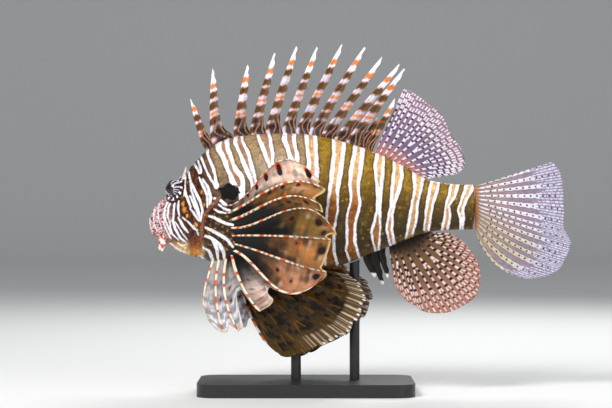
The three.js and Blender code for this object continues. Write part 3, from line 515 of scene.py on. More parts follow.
def relief(x, y, z):
    """Height of the folds over the plain body, in mm."""
    px, pz = picture(x, y, z)
    off_eye = np.hypot(x - EYE_X, z - EYE_Z)
    rise = 1.3 * np.exp(-(((off_eye - 7.4) / 1.2) ** 2)) - 1.2 * np.exp(-((off_eye / 4.6) ** 4))
    mouth, along = to_path(px, pz, MOUTH)
    rise = rise - 1.5 * np.exp(-((mouth / 0.75) ** 2)) * smooth(1.0, 0.85, along)
    rise = rise + 0.9 * np.exp(-(((mouth - 2.3) / 1.2) ** 2)) * smooth(1.0, 0.6, along)
    gill, _ = to_path(px, pz, GILL_EDGE)
    edge_x = np.interp(pz, [p[1] for p in GILL_EDGE[::-1]], [p[0] for p in GILL_EDGE[::-1]])
    front = smooth(0.4, -0.4, px - edge_x)
    in_reach = smooth(96, 100, pz) * smooth(137, 132, pz)
    rise = rise + in_reach * (
        0.7 * front * np.exp(-((gill / 5) ** 2)) - 0.5 * (1 - front) * np.exp(-((gill / 2) ** 2))
    )
    for path in (
        [(-84, 129), (-82.5, 118), (-84, 108), (-88.5, 101.5)],
        [(-98, 132), (-93, 126), (-85, 125), (-78, 128)]
    ):
        ridge, share = to_path(px, pz, path)
        knobs = 0.6 + 0.4 * np.cos(share * 26)
        rise = rise + 0.75 * knobs * np.exp(-((ridge / 1.0) ** 2))
    head = smooth(-66, -80, px) * smooth(6.5, 8.5, off_eye)
    rise = rise + head * (0.22 * ripple(px, pz, 4.2, 3.0) + 0.14 * ripple(px, pz, 2.3, 5.0))
    snout = smooth(-94, -104, px)
    rise = rise + 0.28 * snout * np.sin(2.4 * px + 1.3 * pz + 2 * ripple(px, pz, 7, 1.5))
    nostril = np.hypot(px + 101.5, pz - 131)
    rise = rise + 1.0 * np.exp(-(((nostril - 1.3) / 0.6) ** 2)) - 0.9 * np.exp(-((nostril / 0.8) ** 2))
    return rise


def skin_at(x, angle, lift=0.0):
    """Point of the finished skin of the straight fish, moved out by the relief and by lift."""
    step = 0.02
    here = plain_skin(x, angle, -SCALE_DEPTH)
    along = plain_skin(x + step, angle, -SCALE_DEPTH) - plain_skin(x - step, angle, -SCALE_DEPTH)
    around = plain_skin(x, angle + step / 10, -SCALE_DEPTH) - plain_skin(x, angle - step / 10, -SCALE_DEPTH)
    normal = np.cross(along, around)
    normal = normal / np.maximum(np.linalg.norm(normal, axis=-1, keepdims=True), 1e-9)
    inner = smooth(SNOUT + 0.6, SNOUT + 2.5, x) * smooth(BODY_END - 0.6, BODY_END - 2.5, x)
    rise = (relief(here[..., 0], here[..., 1], here[..., 2]) + lift) * inner
    return here + normal * rise[..., None]


SKIN_SIDES = 248
start, end = SNOUT + SCALE_DEPTH, BODY_END - SCALE_DEPTH
skin_stations = np.concatenate([
    start + SNOUT_ROUND * (1 - np.cos(np.linspace(0.06, math.pi / 2, 26)[:-1])),
    np.arange(start + SNOUT_ROUND, -62, 0.42),
    np.arange(-62, end - TAIL_ROUND, 0.95),
    end - TAIL_ROUND * (1 - np.sin(np.linspace(0.0, 1.5, 9))),
])
skin_angles = -math.pi / 2 + np.arange(SKIN_SIDES) * 2 * math.pi / SKIN_SIDES
grid_x, grid_angle = np.meshgrid(skin_stations, skin_angles, indexing="ij")
straight = skin_at(grid_x, grid_angle)
ends = np.array(
    [[start, 0, (back_at(start) + belly_at(start)) / 2], [end, 0, (back_at(end) + belly_at(end)) / 2]]
)
ends[:, 2] = [belly_at(x) + (back_at(x) - belly_at(x)) * widest_at(x) for x in (start, end)]
flat = np.vstack([straight.reshape(-1, 3), ends])
rows, last = len(skin_stations), len(skin_stations) * SKIN_SIDES
skin_faces = []
for i in range(rows - 1):
    a = i * SKIN_SIDES + np.arange(SKIN_SIDES)
    b = i * SKIN_SIDES + (np.arange(SKIN_SIDES) + 1) % SKIN_SIDES
    skin_faces += np.stack([a, b, b + SKIN_SIDES, a + SKIN_SIDES], -1).tolist()
for k in range(SKIN_SIDES):
    skin_faces.append([last, (k + 1) % SKIN_SIDES, k])
    skin_faces.append([last + 1, (rows - 1) * SKIN_SIDES + k, (rows - 1) * SKIN_SIDES + (k + 1) % SKIN_SIDES])
ground, pale, dark = body_fields(flat[:, 0], flat[:, 1], flat[:, 2])
new_mesh(
    "fish_skin", bend(flat[:, 0], flat[:, 1], flat[:, 2]), skin_faces,
    {"ground": ground, "pale": pale, "dark": dark}, skin_material,
    ["head", "lower_jaw", "gill_cover_left", "gill_cover_right", "trunk", "tail_stem"],
)

# Scales
# Small overlapping scales in slanting rows from the cheek to the tail's root, smaller toward the cheek and
# the tail. Each is a thin curved vane, rooted in the skin, with its free edge a little proud.
VANE = np.array([
    (0.0, -0.30, 0.0), (0.0, 0.0, 0.0), (0.0, 0.30, 0.0),
    (0.35, -0.50, 0.45), (0.35, 0.0, 0.62), (0.35, 0.50, 0.45),
    (0.75, -0.44, 0.80), (0.75, 0.0, 0.95), (0.75, 0.44, 0.80),
    (1.0, -0.20, 0.86), (1.08, 0.0, 0.92), (1.0, 0.20, 0.86),
])
VANE_FACES = [(a, a + 1, a + 4, a + 3) for r in range(3) for a in (3 * r, 3 * r + 1)]


def scale_roots(side, rng):
    """Stations, angles and sizes of one side's scale roots: rows a pitch apart, evenly spaced round it."""
    roots, x, odd = [], -92.0, 0
    while x < BODY_END - 4:
        pitch = float(np.interp(x, [-92, -74, -60, 80, 118], [0.95, 1.2, 1.75, 1.75, 1.35]))
        angles = np.linspace(-math.pi / 2, math.pi / 2, 400)
        line = plain_skin(np.full(400, x), angles, 0)
        length = np.concatenate([[0], np.cumsum(np.linalg.norm(np.diff(line, axis=0), axis=1))])
        marks = np.arange(pitch * (0.5 if odd else 0.0), length[-1], pitch)
        angle = np.interp(marks, length, angles)
        for a in angle + rng.normal(0, 0.004, len(angle)):
            roots.append((
                x + rng.normal(0, 0.08 * pitch),
                a if side < 0 else math.pi - a,
                pitch * rng.uniform(0.95, 1.12),
            ))
        x += pitch * 0.8
        odd = 1 - odd
    return np.array(roots)


for side, name in ((-1, "scales_left"), (1, "scales_right")):
    rng = np.random.default_rng(7)
    roots = scale_roots(side, rng)
    place = plain_skin(roots[:, 0], roots[:, 1], 0)
    px, pz = picture(place[:, 0], place[:, 1], place[:, 2])
    off_eye = np.hypot(place[:, 0] - EYE_X, place[:, 2] - EYE_Z)
    keep = (off_eye > 10.5) & ((px > -86) | (pz > 120)) & (to_path(px, pz, GILL_EDGE)[0] > 1.0)
    roots = roots[keep]
    size = roots[:, 2, None]
    step = 0.5
    here = skin_at(roots[:, 0], roots[:, 1])
    aft = skin_at(roots[:, 0] + step, roots[:, 1]) - here
    aft = aft / np.linalg.norm(aft, axis=1, keepdims=True)
    turn = 0.01
    cross = skin_at(roots[:, 0], roots[:, 1] + turn) - skin_at(roots[:, 0], roots[:, 1] - turn)
    cross = cross / np.linalg.norm(cross, axis=1, keepdims=True)
    normal = np.cross(aft, cross)
    normal = normal / np.linalg.norm(normal, axis=1, keepdims=True)
    cross = np.cross(normal, aft)
    length, width = size * 1.45, size * 1.12
    tips = (
        here[:, None]
        + aft[:, None] * (VANE[None, :, 0:1] * length[:, None])
        + cross[:, None] * (VANE[None, :, 1:2] * width[:, None])
        + normal[:, None] * (VANE[None, :, 2:3] * SCALE_DEPTH * 0.75 * size[:, None] / 1.75 - 0.12)
    )
    points = tips.reshape(-1, 3)
    ground, pale, dark = body_fields(points[:, 0], points[:, 1], points[:, 2])
    rim = np.tile(np.array([0.0, 0.0, 0.0, 0.1, 0.0, 0.1, 0.55, 0.3, 0.55, 1.0, 1.0, 1.0]), len(roots))
    shade = np.repeat(rng.uniform(0.82, 1.25, len(roots)), len(VANE))
    ground = ground * (shade * (1.12 - 0.34 * rim))[:, None]
    glint = np.repeat(rng.random(len(roots)) > 0.965, len(VANE))
    ground = np.where(glint[:, None], blend_colour(ground, GOLD * 1.4, 0.4), ground)
    faces = [tuple(12 * k + c for c in face) for k in range(len(roots)) for face in VANE_FACES]
    if side > 0:
        faces = [face[::-1] for face in faces]
    piece = new_mesh(
        name, bend(points[:, 0], points[:, 1], points[:, 2]), faces,
        {"ground": ground, "pale": pale, "dark": dark}, scale_material, [],
    )
    patch = 0.003
    u = (roots[:, 0] - SNOUT) / (BODY_END - SNOUT)
    v = ((roots[:, 1] + math.pi / 2) / (2 * math.pi)) % 1.0
    centre = np.stack([0.01 + 0.98 * u, 0.01 + 0.98 * v], -1)
    corner = centre[:, None] + np.stack([VANE[:, 0] - 0.5, VANE[:, 1]], -1)[None] * patch
    layer = piece.data.uv_layers.new(name="OFBake")
    loops = np.zeros(len(piece.data.loops), np.int32)
    piece.data.loops.foreach_get("vertex_index", loops)
    layer.data.foreach_set("uv", corner.reshape(-1, 2)[loops].ravel().astype(np.float32))

# Eyes
# Each eye is a firm ball set in its socket: black oval pupil, thin pale ring, and pale rays over a dark iris
# that carry on the face's lines. A clear wet coat covers it.
eye_material = flesh_material("eye", colour(206, 198, 212), colour(3, 6, 20), 0.25, 0.02, 1.0)
eye_material.node_tree.nodes["Principled BSDF"].inputs["Coat Roughness"].default_value = 0.03
for sign, side in ((-1, "left"), (1, "right")):
    rings, around = 72, 128
    polar, spin = np.meshgrid(
        np.linspace(0, math.pi, rings), np.arange(around) * 2 * math.pi / around, indexing="ij"
    )
    bulge = 1 + 0.07 * np.exp(-((polar / 0.55) ** 2))
    a = EYE_RADIUS * bulge * np.sin(polar) * np.cos(spin)
    b = EYE_RADIUS * bulge * np.sin(polar) * np.sin(spin)
    out = EYE_RADIUS * bulge * np.cos(polar)
    tilt = 0.12
    x = EYE_X + a * math.cos(tilt) - out * math.sin(tilt)
    y = sign * (EYE_OUT - 0.25 + out * math.cos(tilt) + a * math.sin(tilt))
    points = bend(x, y, EYE_Z + b)
    seen_a, seen_b = polar * np.cos(spin), polar * np.sin(spin)
    lean = 0.3
    slant = seen_a * math.cos(lean) + seen_b * math.sin(lean)
    upright = seen_b * math.cos(lean) - seen_a * math.sin(lean)
    oval = np.hypot(slant / 0.8, upright)
    rays = np.cos(spin * 14 + 1.6 * np.sin(3 * spin + 1) + 1.2 * polar)
    pale = np.where((oval > 0.66) & (polar < 1.5), (0.3 - rays) * 1.2, 3.0)
    pale = np.minimum(pale, np.abs(oval - 0.6) * EYE_RADIUS - 0.13)
    dark = np.minimum((oval - 0.52) * EYE_RADIUS, (np.abs(slant - 0.05) - 0.2) * EYE_RADIUS)
    ground = blend_colour(colour(96, 66, 62), colour(26, 20, 34), smooth(0.6, 0.8, polar))
    faces = []
    for i in range(rings - 1):
        for k in range(around):
            faces.append((
                i * around + k, (i + 1) * around + k,
                (i + 1) * around + (k + 1) % around, i * around + (k + 1) % around,
            ))
    if sign > 0:
        faces = [face[::-1] for face in faces]
    new_mesh(
        f"eyeball_{side}", points.reshape(-1, 3), faces,
        {"ground": ground.reshape(-1, 3), "pale": pale.ravel(), "dark": dark.ravel()},
        eye_material, [f"eye_{side}"],
    )


# Fins in general
# A fin is a closed thin sheet on its own grid, thick along its rays and thin in the web between them.
def fin_piece(name, place, columns, rows, half_thickness, paint, material, nodes):
    """Closed sheet over u across the rays and v along them, with the ray's relief on both faces."""
    u, v = np.meshgrid(np.linspace(0, 1, columns), np.linspace(0, 1, rows), indexing="ij")
    centre = place(u, v)
    across, along = np.gradient(centre, axis=0), np.gradient(centre, axis=1)
    normal = np.cross(across, along)
    normal = normal / np.maximum(np.linalg.norm(normal, axis=-1, keepdims=True), 1e-9)
    spacing = np.linalg.norm(across, axis=-1) * (columns - 1)
    reach = np.cumsum(np.linalg.norm(along, axis=-1), axis=1)
    half = half_thickness(u, v, spacing, reach)[..., None]
    points = np.concatenate(
        [(centre + normal * half).reshape(-1, 3), (centre - normal * half).reshape(-1, 3)]
    )
    index = np.arange(columns * rows).reshape(columns, rows)
    a, b, c, d = (
        index[:-1, :-1].ravel(), index[1:, :-1].ravel(), index[1:, 1:].ravel(), index[:-1, 1:].ravel()
    )
    shift = columns * rows
    faces = np.concatenate([np.stack([a, b, c, d], -1), np.stack([a, d, c, b], -1) + shift])
    rim = np.concatenate([index[:-1, 0], index[-1, :-1], index[:0:-1, -1], index[0, :0:-1]])
    after = np.roll(rim, -1)
    faces = np.concatenate([faces, np.stack([rim, rim + shift, after + shift, after], -1)])
    ground, pale, dark = paint(u, v, spacing, reach)
    fields = {
        "ground": np.tile(ground.reshape(-1, 3), (2, 1)),
        "pale": np.tile(pale.ravel(), 2), "dark": np.tile(dark.ravel(), 2),
    }
    return new_mesh(name, points, faces.tolist(), fields, material, nodes)


def ray_offset(u, v, rays, first_fork, second_fork):
    """Distance across from the nearest branch, as a share of the spacing, and the ray's number."""
    t = u * (rays - 1)
    number = np.round(t)
    offset = np.abs(t - number)
    offset = np.abs(offset - 0.24 * smooth(first_fork, first_fork + 0.25, v))
    return np.abs(offset - 0.12 * smooth(second_fork, second_fork + 0.2, v)), number


def ray_relief(rays, root, tip, web, first_fork, second_fork, bold=0.55):
    """Half thickness of a fin: thin web with rays standing out of it, thinning toward the margin."""
    def half(u, v, spacing, reach):
        offset, _ = ray_offset(u, v, rays, first_fork, second_fork)
        across = offset * spacing / (rays - 1)
        ray = np.exp(-((across / (bold * (1 - 0.4 * v))) ** 2))
        fold = mix(root, tip, np.clip(v * 1.6, 0, 1))
        return np.maximum(web + (fold / 2 - web) * ray, 0.08)
    return half


def median_fan(foot, margin, bow, lean):
    """Middle-plane fan: rays run from foot line to margin, bowed and leaning as the solids' fins are."""
    edge = curve([(i / (len(margin) - 1), *point) for i, point in enumerate(margin)])

    def place(u, v):
        foot_x, foot_z = foot(u)
        tip = edge(u)
        side = bow(u) * 4 * v * (1 - v)
        dx, dz = tip[..., 0] - foot_x, tip[..., 1] - foot_z
        length = np.hypot(dx, dz)
        return bend(foot_x + dx * v + side * dz / length, lean(u, v), foot_z + dz * v - side * dx / length)

    return place


# Tail fin
# A soft fan of fourteen branched rays, white to lilac, with small dark spots in cross rows and a web
# that darkens to mauve brown between the rays.
CAUDAL_RAYS = 14
CAUDAL_MARGIN = [
    (176, 162), (182, 153.5), (183.5, 145), (184, 135.5), (184.5, 125), (184, 116), (187, 110),
    (189.5, 104), (187.5, 97.5), (184, 90.5), (181, 86), (171.5, 81), (158, 79),
]


def paint_caudal(u, v, spacing, reach):
    """Broad white rays on a mauve web, spotted, that split into fine broken lines near the margin."""
    gap = spacing / (CAUDAL_RAYS - 1)
    t = u * (CAUDAL_RAYS - 1)
    number, branch = np.round(t), np.round(t * 4)
    offset = np.abs(t - number)
    band = (offset - 0.22 - 0.03 * np.sin(reach * 1.1 + 2 * number)) * gap
    line = (np.abs(t * 4 - branch) - 0.24 - 0.06 * np.sin(reach * 0.9 + 2.4 * branch)) * gap / 4
    split = smooth(0.6, 0.78, v + 0.05 * np.sin(number * 2.1))
    brick = (reach + 1.6 * np.sin(branch * 2.3)) / 3.4
    line = np.maximum(line, 0.36 - np.abs(brick - np.round(brick)) * 3.4)
    light = blend_colour(colour(238, 232, 240), colour(204, 196, 166), smooth(0.4, 0.8, u))
    light = blend_colour(light, colour(214, 216, 240), smooth(0.5, 0.85, v))
    ground = blend_colour(colour(168, 136, 124), colour(148, 128, 146), smooth(0.1, 0.6, v))
    ground = blend_colour(ground, colour(92, 70, 84), 0.7 * smooth(0.7, 0.1, band) * (1 - split))
    ground = blend_colour(
        ground, colour(170, 158, 182), 0.5 * split * smooth(-0.4, 0.5, ripple(u * 60, v * 60, 11))
    )
    ground = blend_colour(ground, light, smooth(0.16, -0.1, mix(band, line, split)) * smooth(0.0, 0.08, v))
    ground = blend_colour(ground, colour(206, 132, 66), smooth(0.06, 0.0, v))
    row = (reach + 2.2 * np.sin(number * 2.4)) / 4.8
    along = np.abs(row - np.round(row)) * 4.8
    dark = np.hypot(offset * gap, along) - 0.72 * smooth(0.05, 0.16, v) + 2 * smooth(0.92, 0.98, v)
    return ground, np.full(u.shape, 9.0), dark


def caudal_foot(u):
    """Foot line of the tail fin: upright, at the rounded end of the skin."""
    return 118.6 + 0 * u, mix(144.5, 115.4, u)


fin_piece(
    "tail_fin", median_fan(caudal_foot, CAUDAL_MARGIN, lambda u: 9 * u**3, lambda u, v: 5 * v * v), 420, 100,
    ray_relief(CAUDAL_RAYS, 1.9, 0.6, 0.12, 0.5, 0.7), paint_caudal, fin_material, ["caudal_fin"],
)

# Soft dorsal fin
# Twelve branched rays in a rounded sail behind the spines, white in short pieces with dark spots between.
SOFT_DORSAL_RAYS = 12
SOFT_DORSAL_MARGIN = [
    (68.5, 213), (77, 209), (87.5, 201), (96, 193.5), (102, 181), (109, 170.5), (111.5, 160),
    (106.5, 153.5), (96, 151),
]


def soft_paint(rays, web, outer, root, light, dot, pitch, plain_to):
    """Rays broken into pale pieces, dark spots between them, on a web that changes from root to margin."""
    def paint(u, v, spacing, reach):
        offset, number = ray_offset(u, v, rays, 0.26, 0.6)
        gap = spacing / (rays - 1)
        t = u * (rays - 1)
        branch = 7 * number + 3 * np.sign(t - number) * (v > 0.38)
        row = (reach + 0.45 * pitch * np.sin(1.7 * branch)) / pitch
        along = np.abs(row - np.round(row)) * pitch
        broken = 0.3 + 0.6 * dot
        pale = (
            np.maximum(offset * gap - 0.7 + 0.3 * v, broken - along)
            + smooth(plain_to + 0.15, plain_to - 0.1, v)
        )
        dark = np.hypot(offset * gap, along) - dot * smooth(0.05, 0.2, v) * (1 - 0.4 * smooth(0.5, 1, v))
        ground = blend_colour(web, outer, smooth(0.35, 0.95, v + 0.12 * ripple(u * 40, v * 40, 13)))
        ground = blend_colour(ground, root, smooth(0.3, 0.05, v))
        ground = blend_colour(
            ground, colour(214, 190, 190), 0.4 * smooth(1.0, 0.0, offset * gap) * smooth(0.1, 0.4, v)
        )
        ground = blend_colour(ground, light, smooth(0.2, -0.12, pale))
        return ground, np.full(u.shape, 9.0), dark
    return paint


def dorsal_foot(u):
    """Foot line of the soft dorsal fin, just under the skin of the back."""
    x = mix(48.0, 83.0, u)
    return x, back_at(x) - 0.8


fin_piece(
    "soft_dorsal_fin", median_fan(
        dorsal_foot, SOFT_DORSAL_MARGIN, lambda u: 0 * u, lambda u, v: 3 * v * v * (1 - u)
    ),
    220, 90, ray_relief(SOFT_DORSAL_RAYS, 1.7, 0.6, 0.12, 0.26, 0.6),
    soft_paint(
        SOFT_DORSAL_RAYS, colour(112, 94, 122), colour(146, 114, 132), colour(170, 112, 104),
        colour(228, 218, 232), 0.8, 4.6, 0.0
    ),
    fin_material, ["dorsal_fin_soft"],
)

# Soft anal fin
# The same build under the tail: ten rays, dark and spotted near the body, salmon pink at the margin.
SOFT_ANAL_RAYS = 10
SOFT_ANAL_MARGIN = [
    (61.5, 76), (68.5, 66), (76.5, 60.5), (83.5, 56.5), (97, 56), (108, 60), (117.5, 66.5), (121, 76),
    (121, 88), (115, 99), (108, 107), (101, 111.8),
]


def anal_foot(u):
    """Foot line of the soft anal fin, just inside the belly's skin."""
    x = mix(58.0, 84.0, u)
    return x, belly_at(x) + 0.8


fin_piece(
    "soft_anal_fin", median_fan(anal_foot, SOFT_ANAL_MARGIN, lambda u: 0 * u, lambda u, v: -4 * v * v),
    240, 90, ray_relief(SOFT_ANAL_RAYS, 1.7, 0.6, 0.12, 0.26, 0.6),
    soft_paint(
        SOFT_ANAL_RAYS, colour(110, 78, 50), colour(164, 112, 96), colour(22, 14, 6), colour(222, 204, 196),
        1.15, 5.0, 0.2
    ),
    fin_material, ["anal_fin_soft"],
)

# Fin spines
# Thirteen venomous spines along the back and three before the anal fin. Each is a stiff rod in front with a
# strip of skin trailing behind, banded white, orange and olive, and dark webs join their feet.
DORSAL_SPINES = [
    (-70, -81, 207, 5.2), (-65, -68, 228.5, 6), (-49, -40, 230, 6), (-38, -23, 238.5, 5.8),
    (-27, -6.5, 242.5, 5.8), (-15.5, 7.5, 242.5, 5.6), (-6, 25, 244, 5.6), (3, 41, 242.5, 5.6),
    (11.5, 53, 235, 5.4), (20.5, 65.5, 230.5, 5.4), (29, 68.5, 227, 5.2), (37.2, 50, 193, 3.6),
    (42.4, 62, 206, 4),
]
DORSAL_WEB_END = 47.4
ANAL_WEB_END = 56.5
ANAL_SPINES = [(40.5, 47.5, 80.5, 3.6), (45.5, 53.5, 75, 4), (51, 57, 80, 3.4)]


def blade_place(foot, reach_to, next_foot, tip_x, tip_z, width, surface, side, lean, sink):
    """Middle sheet of one spine with its trailing skin, and the web that runs on to the next spine's foot."""
    height = abs(tip_z - float(surface(foot)))

    def place(u, v):
        front = mix(foot, tip_x, v) - width / 2 * (1 - v**3)
        web = np.exp(-v * height / 7.5)
        ragged = 0.35 * np.sin(v * height * 0.9 + foot) * u * smooth(0.12, 0.3, v)
        blade = width * (1 - v**5) * (1 - 0.25 * v) + 0.5 + ragged
        chord = mix(blade, np.maximum(reach_to - foot, blade), web)
        foot_x = mix(foot, next_foot, u)
        root_z = surface(foot_x) - side * sink
        x = mix(front + chord * u, foot_x, np.exp(-v * height / 2.5))
        return bend(x, lean * v, mix(root_z, tip_z, v) - side * (1 - web) * u * 1.2)

    return place


def blade_half(u, v, spacing, reach):
    """A round rod along the front edge, then thin skin."""
    rod = np.exp(-(((u - 0.16) / 0.15) ** 2)) * (1 - 0.65 * v)
    return 0.14 + 0.75 * rod


def blade_paint(seed, height, banded):
    """Bands from a white tip down through orange and olive to a dark web, or black but for the tip."""
    def paint(u, v, spacing, reach):
        from_tip = (1 - v) * height + 1.4 * (u - 0.4)
        white = colour(240, 232, 238)
        lilac = blend_colour(white, colour(190, 178, 196), 0.7 * smooth(14, 30, from_tip))
        ground = lilac
        bands = [
            (11.5, 3.6, 0), (19.0, 4.6, 1), (28.0, 5.4, 1), (34.0, 1.8, 0), (39.5, 5.2, 1), (47.5, 4.4, 1),
            (54, 4, 1)
        ]
        for at, half, kind in bands:
            at = at * min(1.0, height / 52) + 1.2 * math.sin(seed * 2.1 + at)
            tone = colour(222, 128, 62) if kind == 0 else colour(84, 58, 26)
            band = smooth(half / 2 + 0.5, half / 2 - 0.4, np.abs(from_tip - at) + 0.5 * np.sin(u * 9 + seed))
            ground = blend_colour(ground, tone, band)
            if kind == 1:
                edge = smooth(1.0, 0.2, np.abs(np.abs(from_tip - at) - half / 2))
                ground = blend_colour(ground, colour(196, 100, 44), 0.45 * edge)
        trailing = smooth(0.45, 0.75, u) * smooth(8, 26, from_tip)
        ground = blend_colour(ground, colour(120, 92, 74), 0.45 * trailing)
        foot_dark = smooth(17, 8, v * height + 2.5 * np.sin(u * 6 + seed))
        ground = blend_colour(ground, colour(34, 18, 16), 0.93 * foot_dark * smooth(0.16, 0.3, u))
        for start_at, wave in ((0.5, 0.16), (0.86, 0.08)):
            streak = np.abs(u - start_at - wave * np.sin(v * height * 0.42 + seed)) * spacing
            ground = blend_colour(ground, colour(196, 142, 110), 0.7 * foot_dark * smooth(0.55, 0.2, streak))
        if not banded:
            black = smooth(1.8, 3.2, from_tip)
            ground = blend_colour(colour(226, 216, 214), colour(20, 12, 10), black)
        return ground, np.full(u.shape, 5.0), np.full(u.shape, 5.0)
    return paint


for family, rows, surface, side, last_foot in (
    ("dorsal", DORSAL_SPINES, back_at, 1, DORSAL_WEB_END), ("anal", ANAL_SPINES, belly_at, -1, ANAL_WEB_END),
):
    for i, (foot, tip_x, tip_z, width) in enumerate(rows):
        next_foot = rows[i + 1][0] if i + 1 < len(rows) else last_foot
        lean = (1 if i % 2 else -1) * (3 if family == "dorsal" else 2)
        reach_to = next_foot + (width / 2 if i + 1 < len(rows) else 0)
        height = abs(tip_z - float(surface(foot)))
        fin_piece(
            f"{family}_blade_{i + 1}",
            blade_place(foot, reach_to, next_foot, tip_x, tip_z, width, surface, side, lean, 1.0), 16, 110,
            blade_half, blade_paint(i * 1.3, height, family == "dorsal"), spine_material,
            [f"{family}_fin_spiny"],
        )


# Paired fins
# The great pectoral fins spread from the shoulders, eleven showing rays each, and the pelvic fins hang from
# the belly. Both pairs mirror across the trunk.
def paired_fan(root_at, rays, lobes, sign, pleat):
    """Rays from a root line. A ray row is tip x from the root, tip height, distance out, bow, side bow, curl.
    A lobe row is how far a web falls short, from and to which share of it, and beside which of its two rays.
    Bow adds 4 r (1 - r) and curl 6.75 r r (1 - r) square to the ray, r being the share of the way out."""
    ray = curve([(i / (len(rays) - 1), *row) for i, row in enumerate(rays)])
    depth, near, far, by_next = (np.array([row[k] for row in lobes], float) for k in range(4))

    def place(u, v):
        root = root_at(u)
        length_x, tip_z, out, bow, side_bow, curl = np.moveaxis(ray(u), -1, 0)
        t = u * (len(rays) - 1)
        web = np.clip(np.floor(t), 0, len(rays) - 2).astype(int)
        share = t - web
        toward = np.where(by_next[web] > 0, share, 1 - share)
        notch = smooth(near[web], far[web], toward) * smooth(1.0, LOBE_END, toward)
        reach = v * (1 - depth[web] * notch * v * v)
        length_z = tip_z - root[..., 2]
        arch = 4 * reach * (1 - reach)
        lift = (bow * arch + curl * 6.75 * reach * reach * (1 - reach)) / np.hypot(length_x, length_z)
        fold = pleat * np.sin(math.pi * share) ** 0.8 * v * (1.6 - v)
        x = root[..., 0] + length_x * reach - lift * length_z
        y = root[..., 1] + sign * (out * reach + side_bow * arch - fold)
        z = root[..., 2] + length_z * reach + lift * length_x
        return np.stack([x, y, z], -1)

    return place


LOBE_END = 0.9
PECTORAL_ROOT = [(0, -44.5, 0.02), (1 / 3, -42, -0.38), (2 / 3, -44, -0.85), (1, -61, -1.15)]
PECTORAL_RAYS = [
    (64, 148, 24, -3, 5, 23), (67, 142, 30, 2, 6, 9), (63, 131, 34, 1, 7, 9), (72, 112, 37, -1, 7, 17),
    (68, 108, 37, 1, 7, 0), (64, 86, 34, 1, 7, -2), (61, 81, 31, -1, 7, -16), (20, 58, 26, -3, 6, 0),
    (9, 44, 22, -5, 5, 0), (4, 43, 20, -4, 4, 0), (5, 43, 18, -5, 3, -5),
]
PECTORAL_LOBES = [
    (0.08, 0.1, 1.3, 1), (0.09, 0.1, 1.3, 1), (0.26, 0.1, 1.3, 1), (0.07, 0.1, 1.3, 1), (0.08, 0.1, 1.3, 1),
    (0.06, 0.1, 1.3, 1), (0.56, 0.15, 0.95, 0), (0.5, 0.3, 0.7, 0), (0.14, 0.2, 0.8, 0), (0.08, 0.3, 1.0, 1),
]
PELVIC_RAYS = [
    (19, 37, 6, -3, 0, 0), (30.5, 26, 9, -3, 0, 0), (43, 26, 11, -2, 1, 0), (55.5, 33, 13, -1, 2, 0),
    (71, 41, 15, 0, 3, 0), (77, 51, 16, 0, 3, 0), (81.5, 64, 15, 1, 3, 0), (77, 75.5, 13, 1, 3, 0),
    (67, 83, 10, 2, 2, 0),
]
PELVIC_LOBES = [(0.03, 0.1, 1.2, 1)] * 8

# Webs of the pectoral fin from the top: colour near the root, colour near the margin, reach of the black
PECTORAL_WEBS = [
    (colour(140, 118, 108), colour(222, 192, 170), 0.12), (colour(88, 58, 22), colour(140, 94, 42), 0.3),
    (colour(74, 46, 14), colour(116, 80, 30), 0.42), (colour(60, 42, 12), colour(118, 88, 34), 0.5),
    (colour(90, 54, 24), colour(146, 100, 54), 0.44), (colour(116, 74, 44), colour(168, 118, 88), 0.36),
    (colour(104, 84, 74), colour(186, 160, 148), 0.34), (colour(140, 130, 126), colour(210, 204, 206), 0.1),
    (colour(136, 130, 130), colour(212, 210, 216), 0.0), (colour(150, 140, 136), colour(218, 216, 218), 0.0),
]
# Blotches as web, share of the way out, place between the rays, radius across and radius along in mm
PECTORAL_BLOTCHES = [
    (0, 0.24, 0.3, 2.0, 1.5), (0, 0.35, 0.3, 2.6, 1.8), (0, 0.47, 0.3, 3.4, 2.1), (0, 0.62, 0.36, 5.0, 2.5),
    (0, 0.9, 0.45, 4.4, 2.6), (1, 0.46, 0.2, 1.8, 2.2), (1, 0.6, 0.2, 1.6, 2.4), (1, 0.76, 0.25, 1.8, 2.2),
    (2, 0.62, 0.5, 1.8, 2.6), (2, 0.82, 0.4, 2.0, 3.0), (3, 0.58, 0.4, 2.4, 2.8), (3, 0.84, 0.4, 3.0, 3.6),
    (3, 0.94, 0.75, 3.0, 2.6), (4, 0.66, 0.25, 2.0, 1.6), (4, 0.93, 0.4, 3.4, 4.0), (5, 0.5, 0.4, 1.4, 1.6),
    (5, 0.66, 0.55, 1.5, 1.3), (5, 0.9, 0.3, 2.6, 3.0), (6, 0.42, 0.6, 1.1, 1.3), (6, 0.6, 0.7, 1.3, 1.1),
    (7, 0.44, 0.6, 1.1, 1.0), (7, 0.6, 0.7, 1.2, 1.1), (8, 0.55, 0.5, 1.0, 1.0),
]
RAY_HALF_WIDTHS = (0.8, 0.85, 0.85, 0.75, 0.55, 0.65, 1.1, 1.25, 1.2, 1.0, 1.1)


